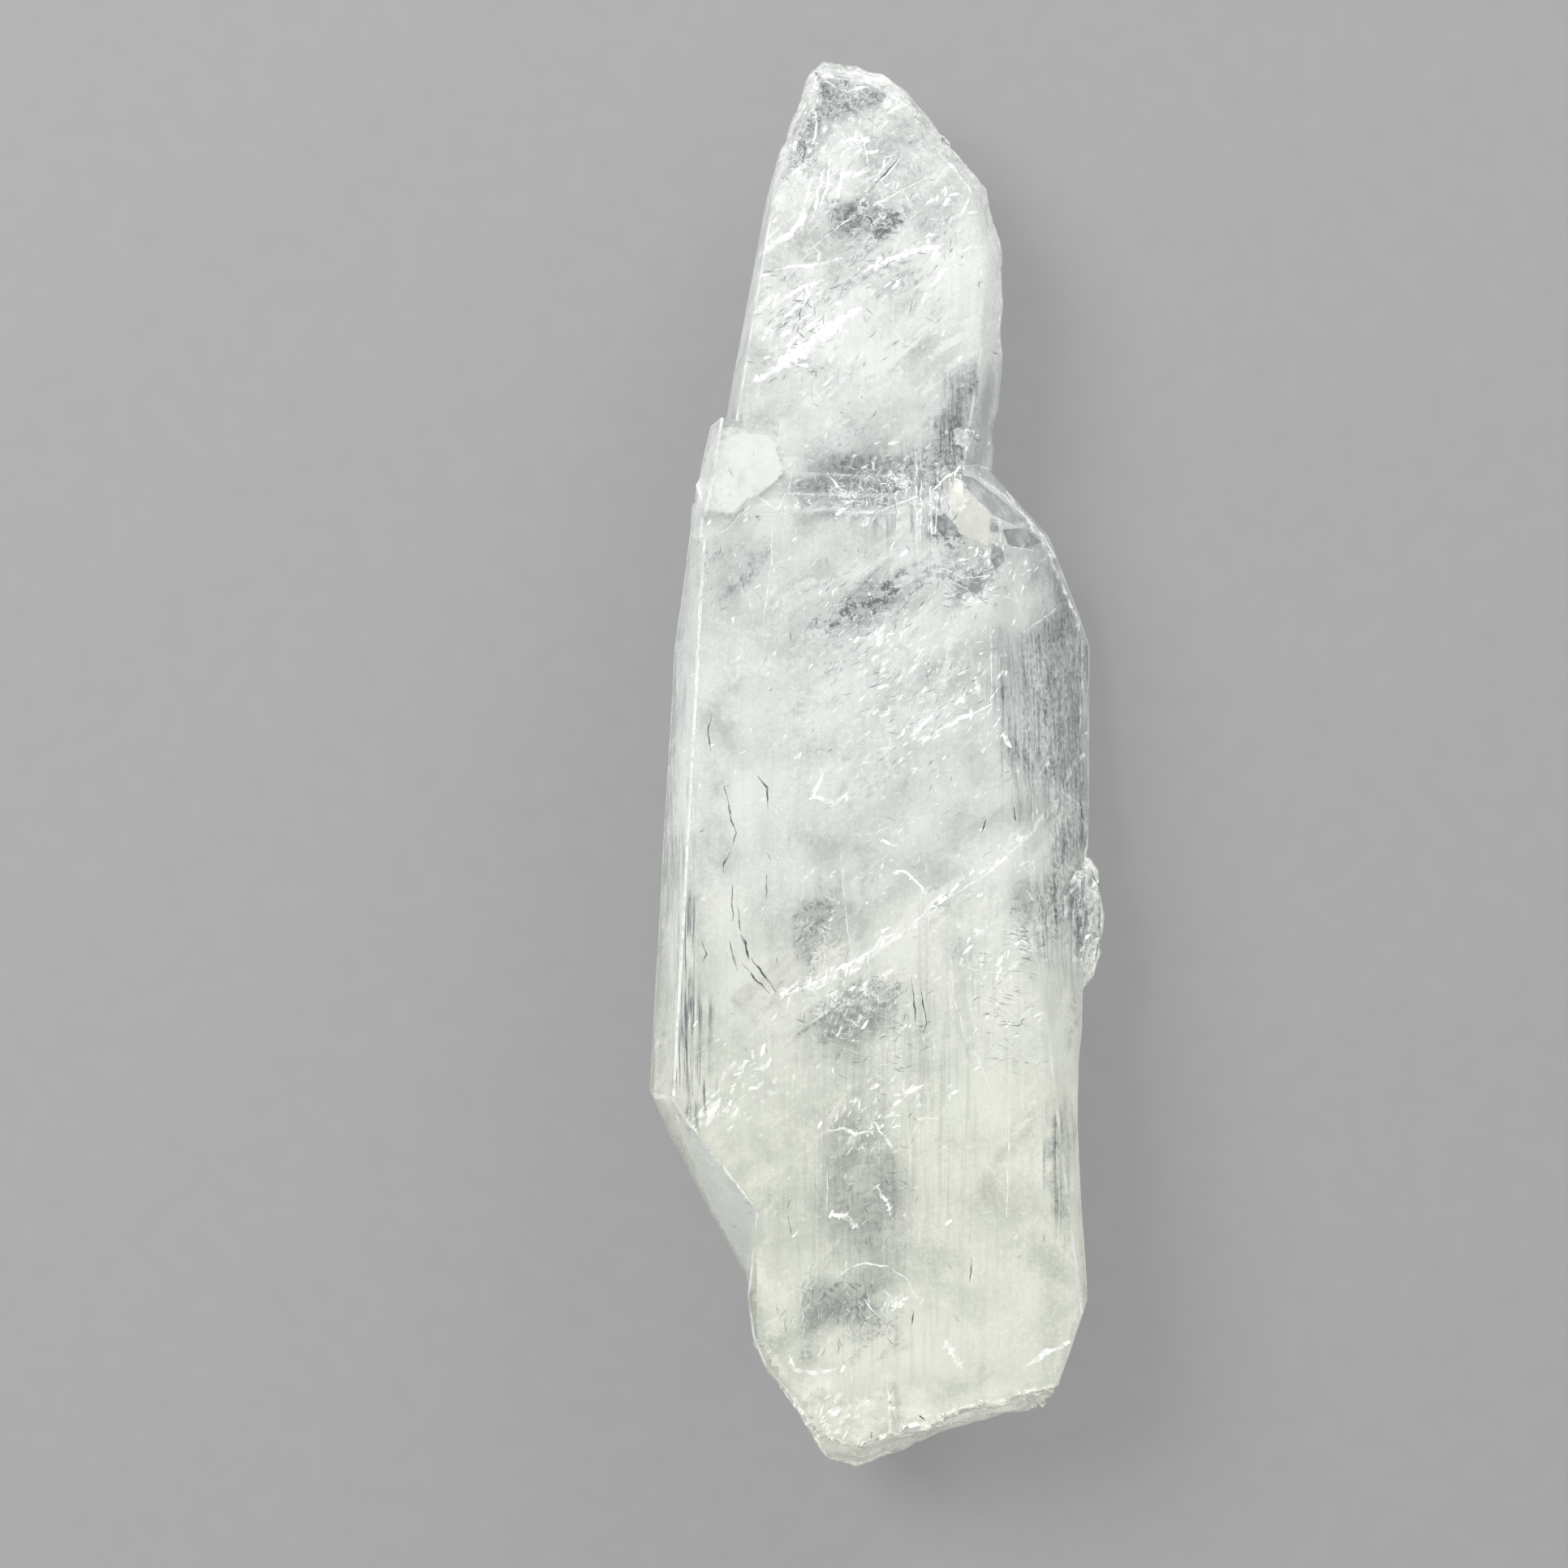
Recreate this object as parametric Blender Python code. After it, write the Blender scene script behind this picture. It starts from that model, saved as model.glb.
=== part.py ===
"""A faden quartz crystal, lying on its broad flat back face.

The crystal is one solid: a wide tabular crystal, a narrower crystal that carries on from its
upper end, a thin plate over the joint and a small lump on the right edge, all grown together.
It lies in the XY plane with its tip toward +Y and its broad front face up, and its origin is
under the middle of it, on the surface that it rests on. Lengths in this file are in millimetres.
"""

import bmesh
import bpy
from math import radians, tan
from mathutils import Matrix, Vector, noise

MM = 0.001

# Driving dimensions
THICKNESS = 11.0          # between the two broad faces of the wide crystal
PRISM_LEAN = 30.0         # degrees that a hexagonal prism's side faces lean from upright
LEFT_GIRDLE = 8.4         # height of the widest line along the left side
RIGHT_GIRDLE_TOP = 2.2    # the same on the right side, at its upper end
RIGHT_GIRDLE_FOOT = 10.9  # and where it has climbed to beside the foot
RIGHT_BACK_LEAN = 20.0    # the back right face is steeper than the prism's other faces
FOOT_GIRDLE = 5.0         # height of the widest line round the broken foot
TIP_GIRDLE = 6.0          # and round the narrow crystal
FRONT_STEP = 0.18         # depth of the growth steps on the front face
BACK_STEP = 0.22          # depth of the growth steps on the back face

# How finely the skin is divided, and how rough it is
SMOOTH_EDGE = 3.2         # longest edge on the flat faces
ROUGH_EDGE = 1.05         # longest edge on the broken and etched parts
TIP_ROUGH_FROM = 33.0     # the tip is etched above this height along the crystal
FOOT_ROUGH_FROM = -33.2   # the foot is broken below this one
TIP_ROUGHNESS = 0.34
FOOT_ROUGHNESS = 0.42
LUMP_ROUGHNESS = 0.22
ETCH_ROUGHNESS = 0.16     # on the etched right edge of the narrow crystal
REST_BAND = 0.3           # the skin isn't roughened this close to the resting face
COARSE_GRAIN = 0.55       # waves of the roughness per millimetre, coarse and fine
FINE_GRAIN = 1.7
MEAN_DEPTH = 0.5          # shares of the roughness: its mean, and the coarse and fine waves
COARSE_DEPTH = 0.75
FINE_DEPTH = 0.45
TIP_FADE = 2.5            # lengths over which the roughness grows to its full depth
FOOT_FADE = 2.0
ETCH_FADE = 1.5
LUMP_FROM = 11.0          # the lump lies right of this line
LUMP_ENDS = (-13.2, -4.6)
ETCHED_RIGHT_OF = 4.9     # the etched edge of the narrow crystal lies right of this line
ETCHED_ABOVE = 23.5       # and above this height along the crystal

MERGE_DISTANCE = 0.004    # points this close are one point
FLAT_ANGLE = 0.2          # degrees between faces that count as one flat face
EVEN_ANGLE = 0.3          # degrees between triangles that may be paired another way
DIVISIONS = 12            # times that long edges are halved, at most

BLOCK = 120.0             # the block that every crystal is cut from

FINE_OFFSET = Vector((7.1, 3.3, 1.9))          # keeps the fine waves apart from the coarse ones
END_FACE_TOP = (-12.84, -18.35, LEFT_GIRDLE)   # where the left side ends and the end faces begin


# ---------------------------------------------------------------------------------------
# Small helpers

def clear_scene():
    for old in list(bpy.data.objects):
        bpy.data.objects.remove(old, do_unlink=True)


def object_from(bm, name):
    mesh = bpy.data.meshes.new(name)
    bm.to_mesh(mesh)
    bm.free()
    shape = bpy.data.objects.new(name, mesh)
    bpy.context.collection.objects.link(shape)
    return shape


def leaning_face(start, end, lean, inside):
    """A face through the line start-end that leans inward by lean degrees.

    It leans inward going up for a positive lean, and going down for a negative one.
    """
    start, end = Vector(start), Vector(end)
    along = (end - start).normalized()
    across = Vector((-along.y, along.x, 0.0)).normalized()
    if (Vector(inside) - start).dot(across) < 0.0:
        across = -across
    rise = 1.0 if lean >= 0.0 else -1.0
    third = start + across * tan(radians(abs(lean))) + Vector((0.0, 0.0, rise))
    return (start, end, third)


def side_faces(corners, girdle, lean_up, lean_down, inside):
    """Pairs of faces along a row of outline corners, meeting at the girdle height."""
    faces = []
    for (ax, ay), (bx, by) in zip(corners, corners[1:]):
        start, end = (ax, ay, girdle), (bx, by, girdle)
        faces.append(leaning_face(start, end, lean_up, inside))
        faces.append(leaning_face(start, end, -lean_down, inside))
    return faces


def cut_crystal(name, faces, inside):
    """The convex solid inside all the faces, each given by three points on it."""
    inside = Vector(inside)
    bm = bmesh.new()
    bmesh.ops.create_cube(bm, size=BLOCK)
    for first, second, third in faces:
        first, second, third = Vector(first), Vector(second), Vector(third)
        normal = (second - first).cross(third - first).normalized()
        if (inside - first).dot(normal) > 0.0:
            normal = -normal
        everything = bm.verts[:] + bm.edges[:] + bm.faces[:]
        cut = bmesh.ops.bisect_plane(bm, geom=everything, plane_co=first, plane_no=normal,
                                     dist=1e-5, clear_outer=True)
        rim = [part for part in cut["geom_cut"] if isinstance(part, bmesh.types.BMEdge)]
        if rim:
            bmesh.ops.edgeloop_fill(bm, edges=rim)
    bmesh.ops.recalc_face_normals(bm, faces=bm.faces[:])
    return object_from(bm, name)


def plate(name, corners, low, high, taper=1.0):
    """A flat plate with the given outline, whose upper outline is scaled by taper."""
    bm = bmesh.new()
    middle = sum((Vector((x, y, 0.0)) for x, y in corners), Vector()) / len(corners)
    bottom = [bm.verts.new((x, y, low)) for x, y in corners]
    top = []
    for x, y in corners:
        spread = middle + (Vector((x, y, 0.0)) - middle) * taper
        top.append(bm.verts.new((spread.x, spread.y, high)))
    count = len(corners)
    bm.faces.new(list(reversed(bottom)))
    bm.faces.new(top)
    for i in range(count):
        j = (i + 1) % count
        bm.faces.new((bottom[i], bottom[j], top[j], top[i]))
    bmesh.ops.recalc_face_normals(bm, faces=bm.faces[:])
    return object_from(bm, name)


def dent(name, centre, radius, squash, turn=0.0):
    """A lens-shaped cutter for a shell-like scar: a ball, flattened and turned about Z."""
    bm = bmesh.new()
    bmesh.ops.create_icosphere(bm, subdivisions=3, radius=radius)
    bmesh.ops.scale(bm, vec=squash, verts=bm.verts[:])
    bmesh.ops.rotate(bm, cent=(0.0, 0.0, 0.0), matrix=Matrix.Rotation(radians(turn), 3, "Z"),
                     verts=bm.verts[:])
    bmesh.ops.translate(bm, vec=centre, verts=bm.verts[:])
    return object_from(bm, name)


def combine(base, others, operation):
    """Join the others to the base, or cut them from it, and take the others away."""
    for other in others:
        other.hide_render = True
        other.display_type = "WIRE"
        step = base.modifiers.new(operation.lower(), "BOOLEAN")
        step.operation = operation
        step.solver = "EXACT"
        step.object = other
    bpy.context.view_layer.update()
    evaluated = base.evaluated_get(bpy.context.evaluated_depsgraph_get())
    result = bpy.data.meshes.new_from_object(evaluated)
    base.modifiers.clear()
    base.data = result
    for other in others:
        bpy.data.objects.remove(other, do_unlink=True)


# ---------------------------------------------------------------------------------------
# The crystals

def wide_crystal():
    """The wide tabular crystal, from its broken foot to its shoulders."""
    inside = (0.0, -5.0, 5.0)
    flat = THICKNESS
    left_top = (-10.52, 13.59, 9.5)
    left_bend = (-11.46, 6.42, LEFT_GIRDLE)
    foot_left = [(-6.05, -34.9), (-2.85, -39.45)]
    right_top = (12.37, 7.08, RIGHT_GIRDLE_TOP)
    right_foot = (11.42, -31.5, RIGHT_GIRDLE_FOOT)
    notch, shoulder = (6.43, 16.65, 6.5), (9.73, 13.23, 5.0)
    shoulder_low = (11.56, 9.42, 3.4)

    broad = [
        ((0.0, 0.0, flat), (5.0, 0.0, flat), (0.0, 5.0, flat)),
        ((0.0, 0.0, 0.0), (5.0, 0.0, 0.0), (0.0, 5.0, 0.0)),
    ]
    left = [
        leaning_face(left_bend, END_FACE_TOP, PRISM_LEAN, inside),
        leaning_face(left_bend, END_FACE_TOP, -PRISM_LEAN, inside),
        leaning_face(left_top, left_bend, -PRISM_LEAN, inside),
    ]
    lower_left = side_faces([END_FACE_TOP[:2], foot_left[0]], 6.0, 5.0, 24.0, inside)
    right = [
        ((5.88, 13.48, flat), (10.13, -21.4, flat), right_top),
        leaning_face(right_top, right_foot, -RIGHT_BACK_LEAN, inside),
    ]
    shoulders = [
        (notch, shoulder, (5.0, 14.9, flat)),
        leaning_face(notch, shoulder, -PRISM_LEAN, inside),
        (shoulder, shoulder_low, (5.95, 12.9, flat)),
        leaning_face(shoulder, shoulder_low, -PRISM_LEAN, inside),
        leaning_face(shoulder_low, right_top, -PRISM_LEAN, inside),
        ((6.12, 13.82, 10.0), (4.05, 14.83, flat), (6.02, 11.83, flat)),
    ]
    upper_end = [
        ((-5.6, 14.0, flat), (4.4, 14.6, flat), (0.0, 18.2, 8.6)),
        ((-6.0, 15.0, 0.0), (6.0, 14.0, 0.0), (0.0, 18.0, 2.5)),
        ((-5.0, 19.0, 5.0), (5.0, 19.0, 5.0), (0.0, 19.0, 8.0)),
    ]
    foot_under = [(-2.85, -39.45), (-1.19, -39.9), (9.82, -36.5)]
    foot_right = [(9.82, -36.5), (11.42, -31.5)]
    foot = side_faces(foot_left, FOOT_GIRDLE, 8.0, 22.0, inside)
    foot += side_faces(foot_under, FOOT_GIRDLE, 20.0, 28.0, inside)
    foot += side_faces(foot_right, FOOT_GIRDLE, 6.0, 24.0, inside)
    faces = broad + left + lower_left + right + shoulders + upper_end + foot
    return cut_crystal("wide_crystal", faces, inside)


def end_face_cutters():
    """The three end faces at the lower left, which stop at ledges above the foot."""
    flat = THICKNESS
    corner = (-11.38, -18.31, flat)
    ridge = (-9.77, -22.96, 8.45)
    end_foot = (-6.15, -31.6, 4.8)
    outside = (-13.0, -25.5, 4.0)
    front_ledge = ((-7.3, -29.2, 6.0), (-3.5, -29.9, flat), (-7.0, -30.3, 10.4))
    back_ledge = ((-7.0, -29.5, 6.0), (-3.5, -30.6, 6.0), (-6.5, -28.8, 0.0))
    wall = ((-6.83, -24.5, flat), (-7.32, -29.3, flat), (-6.98, -24.5, 5.0))
    outer = [(corner, END_FACE_TOP, end_foot), front_ledge, wall]
    inner = [((-10.53, -19.61, flat), (-6.73, -24.53, flat), ridge), front_ledge, wall]
    back = [leaning_face(END_FACE_TOP, end_foot, -PRISM_LEAN, (0.0, -5.0, 5.0)), back_ledge]
    return [
        cut_crystal("outer_end_face", outer, (-13.0, -24.0, 9.0)),
        cut_crystal("inner_end_face", inner, (-10.0, -24.0, flat + 1.5)),
        cut_crystal("back_end_face", back, outside),
    ]


def narrow_crystal():
    """The narrower crystal above it, which thins toward the etched tip."""
    inside = (-1.0, 24.0, 6.0)
    broad = [
        ((-9.4, 14.0, 10.9), (6.0, 16.0, 9.2), (-2.8, 37.3, 8.1)),
        ((-8.0, 14.0, 1.0), (6.0, 14.0, 1.4), (-2.0, 38.0, 3.6)),
    ]
    root = [
        ((-5.0, 13.4, 10.9), (5.0, 13.4, 10.9), (0.0, 9.5, 5.0)),
        leaning_face((-8.5, 9.5, 7.0), (-10.55, 13.9, 7.0), 0.0, inside),
    ]
    left_side = [(-10.0, 16.1), (-6.25, 32.26), (-5.6, 35.75)]
    tip_left = [(-5.6, 35.75), (-4.0, 39.5), (-3.2, 40.2)]
    tip_top = [(-3.2, 40.2), (-1.0, 40.1), (1.95, 38.6)]
    tip_right = [(1.95, 38.6), (3.85, 36.05), (6.2, 33.1), (7.3, 28.9)]
    right_side = [(7.3, 28.9), (7.15, 23.3), (6.49, 16.74)]
    sides = side_faces(left_side, 7.0, 12.0, 24.0, inside)
    sides += side_faces(tip_left, TIP_GIRDLE, 24.0, 30.0, inside)
    sides += side_faces(tip_top, TIP_GIRDLE, 34.0, 36.0, inside)
    sides += side_faces(tip_right, TIP_GIRDLE, 30.0, 32.0, inside)
    sides += side_faces(right_side, TIP_GIRDLE, 28.0, 34.0, inside)
    return cut_crystal("narrow_crystal", broad + root + sides, inside)


def joint_plate():
    """The thin plate that lies over the left half of the joint and ends in a sharp ledge."""
    inside = (-8.0, 16.0, 9.5)
    faces = [
        ((-9.5, 13.4, 11.6), (-5.5, 14.2, 11.2), (-8.0, 21.5, 10.07)),
        ((-9.0, 12.0, 8.0), (-5.0, 12.0, 8.0), (-9.0, 20.0, 8.0)),
    ]
    ledge = [(-9.44, 12.5), (-6.77, 14.69)]
    wedge = [(-5.45, 14.1), (-4.8, 16.0), (-6.6, 21.8)]
    left_side = [(-10.62, 12.3), (-10.5, 14.3), (-9.95, 16.65), (-7.9, 25.3)]
    faces += side_faces(ledge, 9.5, 6.0, 6.0, inside)
    faces += side_faces(wedge, 9.5, 14.0, 6.0, inside)
    faces += [leaning_face((-9.3, 19.2, 9.6), (-5.0, 18.5, 9.6), -15.0, inside)]
    faces += side_faces(left_side, 9.0, 20.0, 8.0, inside)
    faces += [leaning_face((-10.62, 12.25, 9.5), (-9.44, 12.4, 9.5), 8.0, inside)]
    return cut_crystal("joint_plate", faces, inside)


def side_lump():
    """The small pitted lump grown on the right edge."""
    inside = (11.6, -8.9, 5.3)
    faces = [
        ((12.0, -9.0, 7.6), (13.0, -9.0, 7.1), (12.0, -5.0, 7.2)),
        ((12.0, -9.0, 3.1), (13.0, -9.0, 3.5), (12.0, -5.0, 3.3)),
    ]
    outline = [(10.4, -4.8), (12.17, -5.0), (12.77, -5.7), (12.95, -7.4), (13.02, -9.2),
               (12.9, -10.6), (12.5, -11.8), (11.8, -12.85), (10.4, -12.9)]
    faces += side_faces(outline, 5.2, 38.0, 38.0, inside)
    faces += [((10.4, -5.0, 5.0), (10.4, -12.0, 5.0), (10.4, -9.0, 7.0))]
    return cut_crystal("side_lump", faces, inside)


# ---------------------------------------------------------------------------------------
# Growth steps, scars and chips

def front_steps():
    """Shallow terraces left by uneven growth on the broad front face."""
    top, floor = THICKNESS + 2.0, THICKNESS - FRONT_STEP
    left_terrace = [(-12.5, 13.8), (-5.7, 13.8), (-6.2, 6.3), (-6.5, -2.6), (-5.9, -12.7),
                    (-2.4, -19.5), (0.1, -29.5), (1.2, -42.0), (-14.0, -42.0)]
    right_terrace = [(7.0, 8.5), (13.0, 9.5), (13.0, -13.0), (9.7, -16.5), (8.0, -3.0)]
    return [
        plate("left_terrace", left_terrace, floor, top, 1.01),
        plate("right_terrace", right_terrace, floor + 0.03, top, 1.01),
    ]


def back_steps():
    """The same on the back face, which keeps enough of its plane to rest on."""
    ceiling = BACK_STEP
    upper_terrace = [(-4.5, 11.5), (3.0, 10.0), (4.2, 1.5), (0.5, -2.0), (-3.2, 3.0)]
    lower_terrace = [(-1.0, -12.0), (5.5, -9.5), (4.5, -22.0), (0.5, -25.5), (-3.0, -18.0)]
    return [
        plate("back_upper_terrace", upper_terrace, -2.0, ceiling, 0.94),
        plate("back_lower_terrace", lower_terrace, -2.0, ceiling + 0.06, 0.94),
    ]


def scars():
    """Shell-like scars and a bite out of the broken foot."""
    face = THICKNESS
    bite = [(-0.1, -39.7), (5.5, -37.1), (9.9, -36.5), (10.2, -43.0), (-0.4, -43.0)]
    corner = [(-7.36, -28.9), (-7.3, -29.3), (-6.9, -32.4), (-9.6, -32.6), (-9.6, -28.9)]
    hollow = [(11.75, -12.6), (11.2, -16.5), (11.1, -19.5), (11.2, -24.0), (11.5, -28.6),
              (14.0, -28.0), (14.0, -12.6)]
    return [
        dent("round_scar", (-3.7, -33.6, face + 1.35), 1.9, (1.0, 1.05, 1.0)),
        dent("arch_scar", (-0.1, -29.0, face + 1.15), 2.5, (1.1, 0.75, 0.62), 12.0),
        dent("ledge_flake", (-8.55, -31.0, 6.4), 1.1, (0.8, 1.5, 3.2), 22.0),
        dent("foot_flake", (-2.6, -39.6, 9.9), 2.3, (1.3, 0.9, 1.0), -22.0),
        dent("rim_flake", (6.2, -37.0, 10.9), 2.2, (1.8, 0.8, 0.9), 12.0),
        dent("corner_flake", (12.0, -34.2, 8.9), 1.9, (0.7, 1.6, 1.4), -18.0),
        dent("notch_flake", (7.9, 18.4, 7.0), 1.75, (0.8, 1.2, 1.6), 24.0),
        dent("tip_flake", (4.6, 37.4, 8.6), 2.2, (1.3, 1.0, 1.0), -50.0),
        dent("tip_flake_low", (6.9, 34.0, 7.6), 1.7, (0.8, 1.5, 1.0), 38.0),
        dent("tip_flake_back", (-4.4, 38.6, 3.4), 1.9, (1.0, 1.1, 0.9)),
        dent("edge_flake_left", (-11.5, -9.5, 11.3), 0.95, (0.7, 2.2, 0.9), -3.0),
        dent("edge_flake_low", (-9.4, -22.2, 11.2), 0.9, (0.8, 2.0, 0.9), 38.0),
        dent("edge_flake_right", (9.1, -9.6, 11.4), 1.0, (0.8, 2.2, 0.9), 7.0),
        plate("side_hollow", hollow, -2.0, face + 2.0),
        plate("ledge_corner", corner, -2.0, face + 2.0),
        dent("back_foot_flake", (3.5, -38.6, 0.6), 2.4, (1.5, 0.9, 0.9), 15.0),
        plate("foot_bite", bite, -2.0, face + 2.0),
        dent("joint_scar", (-0.5, 16.6, 11.7), 3.0, (1.2, 1.0, 0.75)),
        dent("joint_scar_right", (3.7, 16.0, 11.5), 1.9, (1.0, 1.0, 0.9), 20.0),
        dent("joint_scar_left", (-4.2, 15.0, 11.7), 1.35, (1.0, 0.9, 0.9), -15.0),
    ]


# ---------------------------------------------------------------------------------------
# The skin

def on_lump(point):
    return point.x > LUMP_FROM and LUMP_ENDS[0] < point.y < LUMP_ENDS[1]


def on_etched_edge(point):
    return point.x > ETCHED_RIGHT_OF and point.y > ETCHED_ABOVE


def longest_edge_at(point):
    """How long an edge may be at a place on the skin."""
    at_an_end = point.y > TIP_ROUGH_FROM or point.y < FOOT_ROUGH_FROM
    if at_an_end or on_lump(point) or on_etched_edge(point):
        return ROUGH_EDGE
    return SMOOTH_EDGE


def divide_skin(bm):
    """Split long edges until the skin can carry its roughness, and even out the triangles."""
    bmesh.ops.triangulate(bm, faces=bm.faces[:])
    for _ in range(DIVISIONS):
        long_edges = []
        for edge in bm.edges:
            middle = (edge.verts[0].co + edge.verts[1].co) / 2.0
            if edge.calc_length() > longest_edge_at(middle):
                long_edges.append(edge)
        if not long_edges:
            break
        bmesh.ops.subdivide_edges(bm, edges=long_edges, cuts=1)
        bmesh.ops.triangulate(bm, faces=bm.faces[:])
        inner = [edge for edge in bm.edges
                 if edge.is_manifold and edge.calc_face_angle() < radians(EVEN_ANGLE)]
        bmesh.ops.beautify_fill(bm, faces=bm.faces[:], edges=inner)


def grown(distance, fade):
    """0 up to a line and 1 from one fade past it, in proportion between them."""
    return min(max(distance / fade, 0.0), 1.0)


def roughness_at(point):
    """How far the skin may stray at a place: much at the tip, the foot and the lump."""
    tip = TIP_ROUGHNESS * grown(point.y - TIP_ROUGH_FROM, TIP_FADE)
    foot = FOOT_ROUGHNESS * grown(FOOT_ROUGH_FROM - point.y, FOOT_FADE)
    lump = LUMP_ROUGHNESS if on_lump(point) else 0.0
    etched = 0.0
    if on_etched_edge(point):
        etched = ETCH_ROUGHNESS * grown(point.x - ETCHED_RIGHT_OF, ETCH_FADE)
    return max(tip, foot, lump, etched)


def roughen_skin(bm):
    """Sink the points of the broken and etched parts by uneven depths, and raise none."""
    bm.normal_update()
    moves = []
    for vert in bm.verts:
        amount = roughness_at(vert.co)
        if amount == 0.0 or vert.co.z < REST_BAND:
            continue
        coarse = noise.noise(vert.co * COARSE_GRAIN)
        fine = noise.noise(vert.co * FINE_GRAIN + FINE_OFFSET)
        depth = amount * (MEAN_DEPTH + COARSE_DEPTH * coarse + FINE_DEPTH * fine)
        moves.append((vert, vert.normal * -max(depth, 0.0)))
    for vert, move in moves:
        vert.co += move


def stand_on_origin(bm):
    """Put the origin under the middle of the crystal, on the face that it rests on."""
    low = Vector([min(vert.co[axis] for vert in bm.verts) for axis in range(3)])
    high = Vector([max(vert.co[axis] for vert in bm.verts) for axis in range(3)])
    middle = (low + high) / 2.0
    bmesh.ops.translate(bm, vec=(-middle.x, -middle.y, -low.z), verts=bm.verts[:])


def quartz_material():
    quartz = bpy.data.materials.new("quartz")
    quartz.use_nodes = True
    shader = quartz.node_tree.nodes["Principled BSDF"]
    shader.inputs["Base Color"].default_value = (0.86, 0.88, 0.84, 1.0)
    shader.inputs["Roughness"].default_value = 0.12
    shader.inputs["Metallic"].default_value = 0.0
    shader.inputs["IOR"].default_value = 1.544
    shader.inputs["Transmission Weight"].default_value = 0.8
    return quartz


def make_crystal():
    crystal = wide_crystal()
    combine(crystal, end_face_cutters(), "DIFFERENCE")
    combine(crystal, [narrow_crystal(), joint_plate(), side_lump()], "UNION")
    combine(crystal, front_steps() + back_steps() + scars(), "DIFFERENCE")

    bm = bmesh.new()
    bm.from_mesh(crystal.data)
    bmesh.ops.remove_doubles(bm, verts=bm.verts[:], dist=MERGE_DISTANCE)
    bmesh.ops.dissolve_limit(bm, angle_limit=radians(FLAT_ANGLE), verts=bm.verts[:],
                             edges=bm.edges[:])
    divide_skin(bm)
    roughen_skin(bm)
    stand_on_origin(bm)
    bmesh.ops.scale(bm, vec=(MM, MM, MM), verts=bm.verts[:])
    bmesh.ops.recalc_face_normals(bm, faces=bm.faces[:])
    bm.to_mesh(crystal.data)
    bm.free()

    crystal.name = "crystal"
    crystal.data.name = "crystal"
    crystal.data.materials.clear()
    crystal.data.materials.append(quartz_material())
    return crystal


clear_scene()
make_crystal()
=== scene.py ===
"""The looks of a faden quartz: a clear skin round milky veils, healed fractures, cracks and glints.

The crystal lies on its broad back face with its tip toward +Y and its front face up. Places and
sizes in this file are in millimetres from the middle of the resting face, and each mesh is
brought to metres when it is made. Marks on the front face are given as (across, down) in the
pixels of the camera's square view, and are set on the skin that the camera sees there.
"""

import random
from math import cos, hypot, pi, radians, sin

import bmesh
import bpy
import numpy as np
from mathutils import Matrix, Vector, noise
from mathutils.bvhtree import BVHTree


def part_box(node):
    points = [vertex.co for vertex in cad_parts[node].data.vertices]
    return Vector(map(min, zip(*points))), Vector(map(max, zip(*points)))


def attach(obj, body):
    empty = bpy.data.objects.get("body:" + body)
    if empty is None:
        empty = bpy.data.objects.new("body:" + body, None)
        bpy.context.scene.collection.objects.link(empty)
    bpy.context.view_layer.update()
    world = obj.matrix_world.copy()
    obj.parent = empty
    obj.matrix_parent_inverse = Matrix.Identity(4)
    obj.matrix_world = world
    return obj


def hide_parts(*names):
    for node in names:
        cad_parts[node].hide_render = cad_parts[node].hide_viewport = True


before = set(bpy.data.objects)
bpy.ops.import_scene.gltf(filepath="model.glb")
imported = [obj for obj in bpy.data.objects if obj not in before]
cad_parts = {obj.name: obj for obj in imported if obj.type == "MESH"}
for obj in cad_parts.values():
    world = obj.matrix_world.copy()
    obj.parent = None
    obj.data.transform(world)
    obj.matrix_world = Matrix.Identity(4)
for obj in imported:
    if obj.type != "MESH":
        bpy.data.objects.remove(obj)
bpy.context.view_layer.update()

NOISE_SEED = 5  # noise vectors would differ from run to run without a seed
noise.seed_set(NOISE_SEED)

MM = 0.001
LOW, HIGH = (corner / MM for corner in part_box("crystal"))
MIDDLE_HEIGHT = HIGH.z / 2
DOWN = Vector((0.0, 0.0, -1.0))
UP = Vector((0.0, 0.0, 1.0))
RIGHT = Vector((1.0, 0.0, 0.0))

# Driving values

IOR_QUARTZ = 1.544
SLANT = 40.0  # degrees that the fractures climb to the right in the front view
MERGE_GAP = 0.002  # corners of the solid that are nearer than this are one
SKIN_EDGE = 0.45  # longest edge of the fine skin
DIVISIONS = 8  # times that long edges are halved at most
CREASE = 22.0  # the skin is sharp at edges of more degrees than this
SHEET_STEP = 0.5  # grid of the veils inside
HAZE_STEP = 0.4  # grid of the hazes
VEIL_CLEARANCE = 0.25  # no deep veil comes closer to the skin than this
FADE_DEPTH = 1.1  # deep veils reach their full strength this far under the skin
HAZE_DEPTH = 0.30  # the hazes lie this far under the front, the back and the sides
SHADE_DEPTH = 0.20  # and the shaded streaks this far under the front
HAZE_EDGE = 0.04  # both stop where less of the crystal is over them
THIN_EDGE = (0.5, 2.2)  # a white rim, a painted highlight, fades out between these thicknesses
LEAST_RIM = 0.25  # what is left of the painted rim highlight where a zone is clear
LEAST_PLAIN = 0.01
FOLDS = [(0.13, 1.0), (0.4, 0.4)]  # of a veil: turns of noise in a millimetre, and its share
MARK_DEPTH = 0.14  # cracks, flecks and patches lie this far under the skin
EDGE_DEPTH = 0.13  # the painted edge highlights lie this far under the skin
EDGE_WIDTH = 0.17
HIGHLIGHT_CREST_ANGLE = 24.0  # edges sharper than this many degrees get a painted highlight
LOW_WALL = 0.4  # but not those of growth steps lower than this
STEEP = 0.7  # the normal of a wall leans less than this toward Z
FRONT_FROM = 8.0  # what is higher than this belongs to the front face
REST_HEIGHT = 0.3  # the resting face keeps its plain edges, without painted highlight, up to here
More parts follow.
